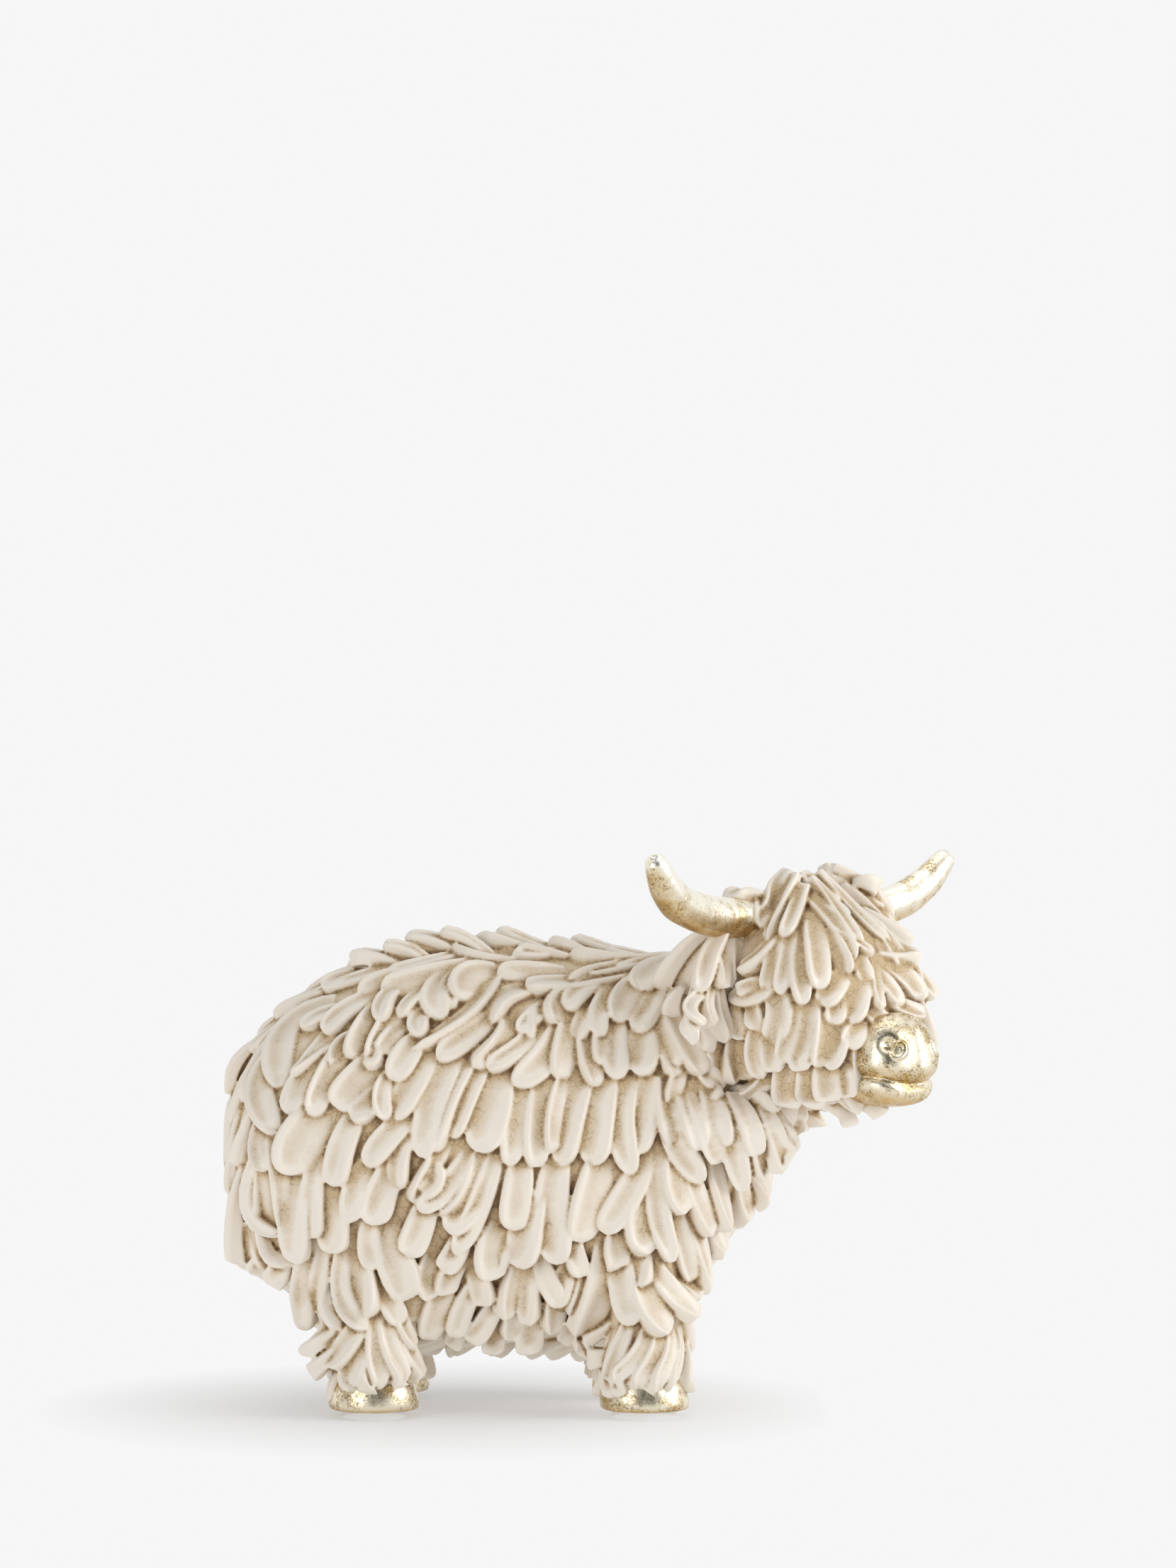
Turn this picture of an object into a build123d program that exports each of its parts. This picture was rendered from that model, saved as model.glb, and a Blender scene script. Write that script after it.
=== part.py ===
from build123d import *
import math
import numpy as np
import os
import random

# Cow figurine, cast in resin, with gilded horns, muzzle and hooves
# Lengths are millimetres and angles are degrees. X runs from the rump to the chest, Y to the
# animal's left and Z up. The floor is at Z zero and the middle of the body at Y zero. The last
# step moves every piece so that the origin lies under the middle of the whole figurine.

# Body casting
body_rear = -110.5
body_length = 175.5
body_top = 144.0
body_half_width = 43.0
body_axis_height = 82.0
body_wall = 5.0
oval_points = 12

# How finely a core is searched for the place where a lock stands
skin_steps = 48
skin_refinements = 3
skin_nudge_share = 0.001
skin_capture_share = 0.12
skin_far_share = 0.85

# Place along the body, underside, top and half width of the core under the locks
body_shares = [
    (0.000, 0.490, 0.550, 0.060),
    (0.008, 0.410, 0.645, 0.360),
    (0.026, 0.343, 0.729, 0.600),
    (0.073, 0.281, 0.819, 0.791),
    (0.148, 0.213, 0.896, 0.907),
    (0.260, 0.167, 0.958, 0.977),
    (0.402, 0.146, 1.000, 1.000),
    (0.545, 0.146, 0.990, 0.984),
    (0.687, 0.172, 0.972, 0.949),
    (0.789, 0.250, 0.965, 0.884),
    (0.868, 0.368, 0.951, 0.779),
    (0.937, 0.478, 0.924, 0.628),
    (0.983, 0.560, 0.875, 0.430),
    (1.000, 0.615, 0.800, 0.209),
]
cavity_stations = slice(3, 10)

# Pour hole in the belly and its plug, measured forward from the rump
plug_ahead = 90.5
plug_radius = 9.0
plug_thickness = 3.5
plug_floor = 22.8
plug_clearance = 0.2

# Legs
leg_radius = 12.0
leg_root_radius = 10.5
leg_root_height = 60.0
leg_half_spacing = 25.0
front_leg_setback = 47.7
rear_leg_setback = 44.5
far_leg_inset = 2.0

# Hooves and the clear pads under them
pad_radius = 10.0
pad_thickness = 2.2
hoof_half_length = 14.2
hoof_half_width = 13.2
hoof_height = 9.8
hoof_shares = [(0.00, 0.95), (0.25, 1.00), (0.60, 0.96), (1.00, 0.82)]
spigot_radius = 5.0
spigot_length = 7.0
cleft_width = 2.4
cleft_depth = 9.0
bond_gap = 0.2

# Seam between body and head, set back from the chest, and the spigot that crosses it
seam_setback = 17.0
seam_y = -6.0
seam_turn = 22.5
seam_floor = 93.0
cut_reach = 150.0
neck_spigot_radius = 9.0
neck_spigot_length = 12.0
neck_spigot_root = 6.0
neck_spigot_rise = 23.0

# Place along the body, across it, height, half height, half width and turn of each neck oval
neck_shares = [
    (0.744, 0.000, 0.681, 0.236, 0.698, 0.0),
    (0.846, -0.070, 0.736, 0.236, 0.674, 12.0),
    (0.937, -0.209, 0.778, 0.222, 0.651, 22.5),
]

# Head, turned to the animal's right, placed from the upright line between the horn roots
head_setback = 3.4
head_y = -15.0
head_turn = 45.0
head_length = 40.0
head_height = 129.0
head_half_width = 28.0
head_half_height = 31.5

# Forward, sideways, height, half height, half width and turn back of each head oval
head_shares = [
    (-0.500, -0.161, 0.868, 1.016, 1.036, 22.5),
    (-0.200, 0.011, 0.946, 1.095, 1.071, 12.0),
    (0.125, 0.036, 1.000, 1.000, 1.000, 0.0),
    (0.475, 0.036, 0.992, 0.952, 1.000, 0.0),
    (0.775, 0.071, 0.961, 0.794, 0.857, 0.0),
    (1.000, 0.086, 0.868, 0.460, 0.560, 0.0),
]

# Muzzle, with its mouth line and nostrils
muzzle_length = 14.0
muzzle_half_width = 15.2
muzzle_half_height = 13.8
muzzle_drop = 17.5
muzzle_sideways = 2.4
muzzle_shares = [
    (0.00, 0.954, 0.978),
    (0.35, 1.000, 1.000),
    (0.65, 0.930, 0.930),
    (0.88, 0.740, 0.720),
    (1.00, 0.460, 0.440),
]
mouth_drop = 6.0
mouth_width = 1.3
mouth_start = 6.0
mouth_depth_share = 0.84
nostril_radius = 2.2
nostril_rise = 4.5
nostril_spread = 7.5
nostril_forward = 12.0
muzzle_boss_radius = 5.0
muzzle_boss_length = 5.0

# Horns: out level from the head, then up
horn_radius = 6.25
horn_root_reach = 21.0
horn_boss_root = 9.0
horn_reach = 69.0
horn_root_rise = 24.8
horn_rise = 19.0
horn_forward = 8.7
horn_shares = [
    (0.000, 0.000, 0.000, 1.000),
    (0.200, 0.020, 0.020, 1.000),
    (0.420, 0.090, 0.160, 0.970),
    (0.640, 0.245, 0.380, 0.900),
    (0.810, 0.530, 0.620, 0.760),
    (0.920, 0.830, 0.820, 0.590),
    (0.975, 0.985, 0.950, 0.420),
    (0.992, 1.045, 1.000, 0.200),
]
pin_radius = 1.5
pin_length = 15.0
pin_clearance = 0.1

# Ears: sideways, drop, forward and width shares of each section
ear_half_width = 8.0
ear_half_thickness = 3.0
ear_root_rise = 9.5
ear_reach = 46.0
ear_drop = 16.0
ear_shares = [
    (0.350, 0.000, -0.060, 0.800),
    (0.620, 0.160, -0.040, 1.000),
    (0.830, 0.480, 0.000, 0.940),
    (0.960, 0.840, 0.020, 0.660),
    (1.000, 1.020, 0.030, 0.250),
]

# Tail, laid along the rump from high to low
tail_half_width = 4.6
tail_half_thickness = 2.1
tail_high_angle = 55.0
tail_low_angle = -36.0
tail_sweep = 12.0
tail_strip = 18.0
tail_shares = [0.70, 0.90, 1.00, 1.00, 1.10, 0.90, 0.40]

# Sculpted locks: spoon-shaped tongues that stand on the core and lift off it at the tip
lock_width = 8.4
lock_thickness = 1.7
lock_gap = 0.35
tip_lift = 2.3
rim_share = 0.72
hollow_share = 0.45
column_jitter_share = 0.05
length_jitter_share = 0.06
dice_seed = 7

# Place along a lock, width, thickness and lift of each of its sections
lock_shares = [
    (0.00, 0.72, 0.80, 0.00),
    (0.34, 1.00, 0.90, 0.10),
    (0.66, 0.96, 1.00, 0.60),
    (0.88, 0.68, 0.95, 1.00),
    (1.00, 0.26, 0.60, 1.02),
]

# Flank rows: angle from the top, length in lock widths, how free it hangs, lean to the rear,
# first and last place along the body, or along its front end for the neck, and count
upper_flank_shares = [
    (7.0, 2.3, 0.0, 0.70, 0.20, 0.80, 11),
    (22.0, 2.6, 0.0, 0.55, 0.14, 0.80, 12),
    (40.0, 2.3, 0.0, 0.40, 0.11, 0.80, 12),
]
lower_flank_shares = [
    (59.0, 3.3, 0.1, 0.25, 0.10, 0.80, 12),
    (88.0, 3.2, 0.3, 0.20, 0.10, 0.81, 12),
    (115.0, 2.8, 0.7, 0.15, 0.12, 0.78, 12),
    (135.0, 2.6, 0.7, 0.15, 0.38, 0.63, 4),
]
neck_rows_reach = 35.1
neck_left_shares = [
    (24.0, 2.6, 0.0, 0.10, 0.05, 0.60, 2),
    (54.0, 3.0, 0.1, 0.00, 0.15, 0.70, 2),
    (88.0, 3.0, 0.5, 0.00, 0.15, 0.65, 2),
]
neck_right_shares = [
    (55.0, 2.8, 0.2, 0.00, 0.05, 0.35, 1),
    (88.0, 3.0, 0.5, 0.00, 0.10, 0.55, 2),
]

# Rows on rounded ends: elevation, length in lock widths, how free it hangs, first and last
# bearing, and count
rump_shares = [
    (62.0, 2.5, 0.0, -58.0, 58.0, 6),
    (39.0, 2.6, 0.1, -60.0, 60.0, 7),
    (15.0, 2.8, 0.2, -60.0, 60.0, 8),
    (-12.0, 2.7, 0.3, -60.0, 60.0, 8),
    (-38.0, 2.2, 0.5, -55.0, 55.0, 6),
]
chest_shares = [
    (24.0, 2.4, 0.1, -60.0, 60.0, 6),
    (-2.0, 2.4, 0.2, -60.0, 60.0, 6),
    (-30.0, 2.1, 0.3, -56.0, 56.0, 5),
    (-54.0, 1.7, 0.5, -45.0, 45.0, 3),
]
crown_front_shares = [(77.0, 1.8, 0.0, -64.0, 64.0, 2)]
crown_back_shares = [(68.0, 1.6, 0.0, 150.0, 210.0, 2)]
fringe_shares = [
    (54.0, 1.8, 0.0, -54.0, 54.0, 5),
    (31.0, 1.9, 0.0, -56.0, 56.0, 6),
]
cheek_shares = [
    (8.0, 2.5, 0.5, 66.0, 100.0, 2),
    (-14.0, 2.4, 0.8, 44.0, 98.0, 3),
    (-38.0, 2.0, 1.0, 44.0, 98.0, 3),
]
chin_shares = [(-48.0, 1.7, 1.0, -38.0, 38.0, 4)]

# Locks along the back
ridge_count = 8
ridge_first_share = 0.16
ridge_last_share = 0.84
ridge_longer = 2.1

# Locks under the belly
belly_columns = 5
belly_ahead = 35.0
belly_pitch = 10.5
belly_front_gap = 14.0
belly_spread = 1.35
belly_longer = 2.2
belly_slope = 0.70

# Rings of locks round each leg: root height outside and inside, tip height, first and last
# bearing from the tail end, and count
leg_ring_upper = (43.0, 43.0, 24.0)
leg_ring_lower = (32.0, 23.5, 8.6)
leg_body_height = 36.0
upper_ring_bearings = (48.0, 132.0, 2)
lower_ring_bearings = (0.0, 360.0, 9)

# Locks on each ear
ear_lock_count = 2
ear_first_lock_share = 0.76
ear_last_lock_share = 0.945
ear_lock_longer = 1.8

# Centres of the rounded ends that carry locks
rump_centre_setback = 25.5
chest_centre_setback = 35.0
chest_centre_height = 70.0
head_centre_forward = 8.0
head_centre_drop = 1.0

body_front = body_rear + body_length
plug_x = body_rear + plug_ahead
front_leg_x = body_front - front_leg_setback
rear_leg_x = body_rear + rear_leg_setback
seam_x = body_front - seam_setback
head_x = body_front - head_setback
neck_spigot_height = seam_floor + neck_spigot_rise
muzzle_height = head_height - muzzle_drop
horn_root_height = head_height + horn_root_rise
ear_root_height = head_height + ear_root_rise
head_centre_height = head_height - head_centre_drop

up = Vector(0, 0, 1)
ahead = Vector(1, 0, 0)
left = Vector(0, 1, 0)
facing = ahead.rotate(Axis.Z, -head_turn)
head_left = left.rotate(Axis.Z, -head_turn)
seam_out = ahead.rotate(Axis.Z, -seam_turn)
seam_point = Vector(seam_x, seam_y, seam_floor)
neck_joint = Vector(seam_x, seam_y, neck_spigot_height)
rump_centre = Vector(body_rear + rump_centre_setback, 0, body_axis_height)
chest_centre = Vector(body_front - chest_centre_setback, 0, chest_centre_height)
leg_foot = pad_thickness + hoof_height + bond_gap
belly_first_x = rear_leg_x + belly_ahead
belly_rows = math.floor((front_leg_x - belly_front_gap - belly_first_x) / belly_pitch) + 1


def oval_section(centre, across, upward, half_across, half_up):
    """A closed oval outline, drawn through evenly spaced points of an ellipse."""
    points = []
    for step in range(oval_points):
        turn = 2 * math.pi * step / oval_points
        points.append(centre + across * (half_across * math.cos(turn)) + upward * (half_up * math.sin(turn)))
    return Wire([Edge.make_spline(points, periodic=True)])


def bar(start, end, radius):
    """A round bar from one place to another."""
    span = end - start
    return Solid.make_cylinder(radius, span.length, Plane(origin=start, z_dir=span.normalized()))


def biggest(shape):
    """The largest solid of what a cut or a join leaves."""
    solids = ShapeList(shape).solids() if isinstance(shape, list) else shape.solids()
    return max(solids, key=lambda solid: solid.volume)


def head_place(sideways, forward, height):
    """A place in the head, from the upright line between the horn roots."""
    return Vector(head_x, head_y, 0) + head_left * sideways + facing * forward + up * height


def leg_places():
    """Name, X, Y and outward side of each leg."""
    places = []
    for end, x, inward in (("front", front_leg_x, -1), ("rear", rear_leg_x, 1)):
        places.append((end + "_right", x, -leg_half_spacing, -1))
        places.append((end + "_left", x + inward * far_leg_inset, leg_half_spacing, 1))
    return places


# Body casting
def body_section(share, inset):
    """One oval of the body core, drawn in by an inset."""
    along, low, high, half_width = share
    bottom = body_top * low + inset
    top = body_top * high - inset
    centre = Vector(body_rear + body_length * along, 0, (bottom + top) / 2)
    return oval_section(centre, left, up, body_half_width * half_width - inset, (top - bottom) / 2)


def neck_section(share):
    """One oval of the neck, turned towards the head."""
    along, across, height, half_high, half_wide, turn = share
    centre = Vector(body_rear + body_length * along, body_half_width * across, body_top * height)
    sideways = left.rotate(Axis.Z, -turn)
    return oval_section(centre, sideways, up, body_half_width * half_wide, body_top * half_high)


def make_barrel():
    """The body without its legs and neck."""
    return Solid.make_loft([body_section(share, 0) for share in body_shares])


def make_neck():
    """The neck, which runs past the seam into the head."""
    return Solid.make_loft([neck_section(share) for share in neck_shares])


def make_body_core(barrel, neck):
    """The body, legs and neck as one mass, before it is hollowed."""
    core = biggest(barrel.fuse(neck))
    for name, x, y, side in leg_places():
        rise = leg_root_height - leg_foot
        foot = Plane(origin=Vector(x, y, leg_foot), z_dir=up)
        leg = Solid.make_cone(leg_radius, leg_root_radius, rise, foot)
        core = biggest(core.fuse(leg))
    in_front = bar(seam_point, seam_point + seam_out * cut_reach, cut_reach)
    below = bar(seam_point - up * cut_reach, seam_point, 2 * cut_reach)
    return biggest(core.cut(biggest(in_front.cut(below))))


def make_body_casting(core):
    """The hollow body casting, with its neck socket, pour hole and hoof sockets."""
    cavity = Solid.make_loft([body_section(share, body_wall) for share in body_shares[cavity_stations]])
    casting = biggest(core.cut(cavity))
    deep = neck_joint - seam_out * (neck_spigot_length + bond_gap)
    casting = biggest(casting.cut(bar(neck_joint + seam_out * bond_gap, deep, neck_spigot_radius + bond_gap)))
    hole = bar(Vector(plug_x, 0, 0), Vector(plug_x, 0, body_axis_height), plug_radius)
    casting = biggest(casting.cut(hole))
    for name, x, y, side in leg_places():
        socket_top = Vector(x, y, leg_foot + spigot_length)
        casting = biggest(casting.cut(bar(Vector(x, y, pad_thickness), socket_top, spigot_radius + bond_gap)))
    return casting


def make_plug():
    """The round plug that closes the pour hole in the belly."""
    low = Vector(plug_x, 0, plug_floor)
    return bar(low, low + up * plug_thickness, plug_radius - plug_clearance)


# Head casting
def make_skull():
    """The head before it is cut at the seam."""
    sections = []
    for forward, sideways, height, half_high, half_wide, turn in head_shares:
        centre = head_place(head_half_width * sideways, head_length * forward, head_height * height)
        across = head_left.rotate(Axis.Z, turn)
        wide = head_half_width * half_wide
        sections.append(oval_section(centre, across, up, wide, head_half_height * half_high))
    return Solid.make_loft(sections)


def make_head_core(skull):
    """The head with its horn bosses, cut flat at the neck seam."""
    behind = bar(seam_point - seam_out * cut_reach, seam_point + seam_out * bond_gap, cut_reach)
    below = bar(seam_point - up * cut_reach, seam_point + up * bond_gap, cut_reach)
    core = biggest(biggest(skull.cut(behind)).cut(below))
    for side in (-1, 1):
        inner = head_place(side * horn_boss_root, 0, horn_root_height)
        outer = head_place(side * (horn_root_reach - bond_gap), 0, horn_root_height)
        core = biggest(core.fuse(bar(inner, outer, horn_radius)))
    return core


def pin_ends(side):
    """Both ends of the steel pin across a horn joint."""
    joint = head_place(side * horn_root_reach, 0, horn_root_height)
    half = head_left * (side * pin_length / 2)
    return joint - half, joint + half


def make_head_casting(core):
    """The head with its neck spigot, its muzzle boss and the holes for the horn pins."""
    spigot = bar(neck_joint + seam_out * neck_spigot_root, neck_joint - seam_out * neck_spigot_length,
                 neck_spigot_radius)
    casting = biggest(core.fuse(spigot))
    front = head_place(muzzle_sideways, head_length, muzzle_height)
    boss = bar(front - facing * muzzle_boss_length, front + facing * muzzle_boss_length, muzzle_boss_radius)
    casting = biggest(casting.fuse(boss))
    for side in (-1, 1):
        start, end = pin_ends(side)
        hole = bar(start - head_left * (side * pin_clearance), end, pin_radius + pin_clearance)
        casting = biggest(casting.cut(hole))
    return casting


def make_muzzle():
    """The gilded nose and lip, with a mouth line, nostrils and a socket behind."""
    base = head_place(muzzle_sideways, head_length + bond_gap, muzzle_height)
    outer = []
    inner = []
    for forward, half_wide, half_high in muzzle_shares:
        centre = base + facing * (muzzle_length * forward)
        wide = muzzle_half_width * half_wide
        high = muzzle_half_height * half_high
        outer.append(oval_section(centre, head_left, up, wide, high))
        inner.append(oval_section(centre, head_left, up, wide * mouth_depth_share, high))
    muzzle = Solid.make_loft(outer)
    corner = base + facing * mouth_start - head_left * (2 * muzzle_half_width) - up * mouth_drop
    slot_plane = Plane(origin=corner, x_dir=facing, z_dir=up)
    slot = Solid.make_box(2 * muzzle_length, 4 * muzzle_half_width, mouth_width, slot_plane)
    for piece in slot.cut(Solid.make_loft(inner)).solids():
        muzzle = biggest(muzzle.cut(piece))
    for side in (-1, 1):
        place = base + facing * nostril_forward + up * nostril_rise + head_left * (side * nostril_spread)
        muzzle = biggest(muzzle.cut(Solid.make_sphere(nostril_radius, Plane(origin=place, z_dir=up))))
    socket = bar(base - facing * bond_gap, base + facing * (muzzle_boss_length + bond_gap),
                 muzzle_boss_radius + bond_gap)
    return biggest(muzzle.cut(socket))


# Horns, pins and ears
def make_horn(side, head):
    """One gilded horn, round in section, fitted to the head, with a hole for its pin."""
    places = []
    for out, rise, forward, thick in horn_shares:
        reach = horn_root_reach + (horn_reach - horn_root_reach) * out
        places.append(head_place(side * reach, horn_forward * forward, horn_root_height + horn_rise * rise))
    sections = []
    for number, share in enumerate(horn_shares):
        run = places[min(number + 1, len(places) - 1)] - places[max(number - 1, 0)]
        run = head_left * side if number == 0 else run.normalized()
        across = run.cross(up).normalized()
        radius = horn_radius * share[3]
        sections.append(oval_section(places[number], across, across.cross(run), radius, radius))
    start, end = pin_ends(side)
    hole = bar(start, end + head_left * (side * pin_clearance), pin_radius + pin_clearance)
    return biggest(biggest(Solid.make_loft(sections).cut(head)).cut(hole))


def make_pin(side):
    """The steel pin that holds a horn to its boss."""
    start, end = pin_ends(side)
    return bar(start, end, pin_radius)


def make_ear(side, head):
    """One drooping ear, a flat leaf that grows out of the side of the head."""
    sections = []
    for out, drop, forward, wide in ear_shares:
        centre = head_place(side * ear_reach * out, ear_reach * forward, ear_root_height - ear_drop * drop)
        thin = ear_half_thickness * math.sqrt(wide)
        sections.append(oval_section(centre, facing, up, thin, ear_half_width * wide))
    return biggest(Solid.make_loft(sections).cut(head))


# Hooves and pads
def make_hoof(x, y):
    """One gilded hoof with its cleft, and the spigot that goes up into the leg."""
    base = Vector(x, y, pad_thickness)
    sections = []
    for rise, wide in hoof_shares:
        centre = base + up * (hoof_height * rise)
        sections.append(oval_section(centre, ahead, left, hoof_half_length * wide, hoof_half_width * wide))
    hoof = Solid.make_loft(sections)
    corner = base + ahead * (hoof_half_length - cleft_depth) - left * (cleft_width / 2)
    cleft = Solid.make_box(2 * cleft_depth, cleft_width, hoof_height, Plane(origin=corner, z_dir=up))
    hoof = biggest(hoof.cut(cleft))
    top = base + up * (hoof_height + spigot_length)
    return biggest(hoof.fuse(bar(top - up * (2 * spigot_length), top, spigot_radius)))


def make_pad(x, y):
    """One clear round pad under a hoof."""
    return bar(Vector(x, y, 0), Vector(x, y, pad_thickness), pad_radius)


# Places on the cores
class Skin:
    """The outer face of a loft, on which a place is found along a direction from inside it."""

    def __init__(self, solid):
        self.face = max(solid.faces(), key=lambda face: face.area)
        steps = [(number + 0.5) / skin_steps for number in range(skin_steps)]
        self.pairs = [(u, v) for u in steps for v in steps]
        self.grid = np.array([tuple(self.face.position_at(u, v)) for u, v in self.pairs])

    def miss(self, u, v, inside, direction):
        """How far the face at u and v lies beside the line, as a vector."""
        offset = np.array(tuple(self.face.position_at(u % 1, min(max(v, 0), 1)))) - inside
        return offset - direction * offset.dot(direction)

    def hit(self, inside, direction):
        """The outermost place along a direction, its outward normal and how far it lies beside."""
        start = np.array(tuple(inside))
        line = np.array(tuple(direction.normalized()))
        offsets = self.grid - start
        along = offsets @ line
        beside = np.linalg.norm(offsets - np.outer(along, line), axis=1)
        slope = np.where(along > 0, beside / np.maximum(along, lock_gap), np.inf)
        near_line = slope <= max(skin_capture_share, slope.min() * 2)
        far = near_line & (along >= along[near_line].max() * skin_far_share)
        u, v = self.pairs[int(np.argmin(np.where(far, slope, np.inf)))]
        for step in range(skin_refinements):
            here = self.miss(u, v, start, line)
            by_u = (self.miss(u + skin_nudge_share, v, start, line) - here) / skin_nudge_share
            by_v = (self.miss(u, v + skin_nudge_share, start, line) - here) / skin_nudge_share
            change = np.linalg.lstsq(np.stack([by_u, by_v], axis=1), -here, rcond=None)[0]
            u += float(change[0])
            v = min(max(v + float(change[1]), skin_nudge_share), 1 - 2 * skin_nudge_share)
        point = self.face.position_at(u % 1, v)
        normal = self.face.normal_at(u % 1, v)
        normal = normal if normal.dot(direction) > 0 else normal * -1
        return point, normal, float(np.linalg.norm(self.miss(u, v, start, line)))


def outer_hit(skins, inside, direction):
    """The outermost place of several skins along a direction from inside them."""
    hits = [skin.hit(inside, direction) for skin in skins]
    met = [hit for hit in hits if hit[2] < lock_gap]
    if met:
        best = max(met, key=lambda hit: (hit[0] - inside).dot(direction))
    else:
        best = min(hits, key=lambda hit: hit[2])
    return best[0], best[1]


def around_body(skins, x, angle):
    """A place on the body at an angle from the top towards the animal's left."""
    turn = math.radians(angle)
    return outer_hit(skins, Vector(x, 0, body_axis_height), Vector(0, math.sin(turn), math.cos(turn)))


def on_dome(skins, centre, level, bearing, elevation):
    """A place seen from a centre, at a bearing from a level direction and an elevation."""
    rise = math.radians(elevation)
    direction = level.rotate(Axis.Z, bearing) * math.cos(rise) + up * math.sin(rise)
    return outer_hit(skins, centre, direction)


def hung(root, direction, length):
    """A station that hangs free, a length along a direction from a root."""
    point, normal = root
    return point + direction * length, normal


def blended(first, second, share):
    """A station part of the way from one station to another."""
    point = first[0] + (second[0] - first[0]) * share
    normal = (first[1] + (second[1] - first[1]) * share).normalized()
    return point, normal


def make_lock(stations):
    """A spoon-shaped tongue, lofted through sections that stand on its stations."""
    points = [point for point, normal in stations]
    last = len(points) - 1
    sections = []
    for number, (place, wide, thick, lift) in enumerate(lock_shares):
        run = (points[min(number + 1, last)] - points[max(number - 1, 0)]).normalized()
        normal = stations[number][1]
        normal = (normal - run * normal.dot(run)).normalized()
        across = run.cross(normal) * (lock_width * wide / 2)
        deep = lock_thickness * thick
        middle = points[number] + normal * (lock_gap + tip_lift * lift)
        rim = normal * deep
        top = Edge.make_spline([
            middle + across,
            middle + across * rim_share + rim,
            middle + normal * (deep * hollow_share),
            middle - across * rim_share + rim,
            middle - across,
        ])
        sections.append(Wire([Edge.make_line(middle - across, middle + across), top]))
    return Solid.make_loft(sections)


# Locks on the body
def flank_locks(skins, rows, side, dice, start, reach):
    """Rows of locks down one flank, which lean to the rear, from a start and over a reach."""
    solids = []
    for number, (angle, longer, free, lean, first, last, count) in enumerate(rows):
        for step in range(count):
            along = first + (last - first) * (step + (number % 2) / 2) / count
            jitter = dice.uniform(-column_jitter_share, column_jitter_share)
            x = start + reach * along + lock_width * jitter
            length = lock_width * longer * (1 + dice.uniform(-length_jitter_share, length_jitter_share))
            root = around_body(skins, x, side * angle)
            radius = (root[0] - Vector(x, 0, body_axis_height)).length
            down = (ahead * -lean - up).normalized()
            around = math.sqrt(1 - lean * lean)
            stations = []
            for place, wide, thick, lift in lock_shares:
                slide = length * place
                turn = math.degrees(slide * around / radius)
                laid = around_body(skins, x - slide * lean, side * (angle + turn))
                stations.append(blended(laid, hung(root, down, slide), free))
            solids.append(make_lock(stations))
    return solids


def ridge_locks(skins):
    """Locks along the back, laid towards the tail."""
    solids = []
    for step in range(ridge_count):
        along = ridge_first_share + (ridge_last_share - ridge_first_share) * step / ridge_count
        x = body_rear + body_length * along
        length = lock_width * ridge_longer
        solids.append(make_lock([around_body(skins, x - length * share[0], 0) for share in lock_shares]))
    return solids


def dome_locks(skins, centre, level, rows, dice, strip=None):
    """Rows of locks on a rounded end, all pointing down, which may leave a strip bare."""
    solids = []
    for elevation, longer, free, first, last, count in rows:
        for step in range(count):
            bearing = first + (last - first) * (step + 0.5) / count
            length = lock_width * longer * (1 + dice.uniform(-length_jitter_share, length_jitter_share))
            if strip and abs(bearing - strip(elevation)) < tail_strip:
                continue
            root = on_dome(skins, centre, level, bearing, elevation)
            reach = (root[0] - centre).length
            stations = []
            for place, wide, thick, lift in lock_shares:
                drop = math.degrees(length * place / reach)
                laid = on_dome(skins, centre, level, bearing, elevation - drop)
                stations.append(blended(laid, hung(root, up * -1, length * place), free))
            solids.append(make_lock(stations))
    return solids


def belly_locks(skins):
    """Locks under the belly, which trail down and to the rear."""
    solids = []
    direction = (ahead * -1 - up * belly_slope).normalized()
    for row in range(belly_rows):
        for column in range(belly_columns):
            x = belly_first_x + belly_pitch * row
            y = lock_width * belly_spread * (column - (belly_columns - 1) / 2)
            if abs(x - plug_x) < plug_radius + lock_width / 2 and abs(y) < plug_radius + lock_width / 2:
                continue
            point, normal = outer_hit(skins, Vector(x, y, body_axis_height), up * -1)
            root = (point + normal * lock_gap, normal)
            length = lock_width * belly_longer
            solids.append(make_lock([hung(root, direction, length * share[0]) for share in lock_shares]))
    return solids


def on_leg(skins, x, y, direction, height):
    """A place on a leg or on the body beside it, at a height, or level with the leg's foot below it."""
    rise = max(height - leg_foot, 0) / (leg_root_height - leg_foot)
    reach = leg_radius + (leg_root_radius - leg_radius) * rise
    point = Vector(x, y, height) + direction * reach
    if height > leg_body_height:
        body, normal = outer_hit(skins[:1], Vector(x, y, height), direction)
        if (body - Vector(x, y, height)).dot(direction) > reach:
            return body, normal
    return point, direction


def leg_locks(skins, x, y, side):
    """Two rings of locks round one leg, the lower one down over the hoof."""
    solids = []
    rings = ((leg_ring_upper, upper_ring_bearings), (leg_ring_lower, lower_ring_bearings))
    for (root_outside, root_inside, tip), (first, last, count) in rings:
        for step in range(count):
            bearing = first + (last - first) * (step + 0.5) / count
            outward = (1 + math.sin(math.radians(bearing))) / 2
            root_height = root_inside + (root_outside - root_inside) * outward
            direction = (ahead * -1).rotate(Axis.Z, -side * bearing)
            stations = []
            for place, wide, thick, lift in lock_shares:
                height = root_height + (tip - root_height) * place
                stations.append(on_leg(skins, x, y, direction, height))
            solids.append(make_lock(stations))
    return solids


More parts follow.
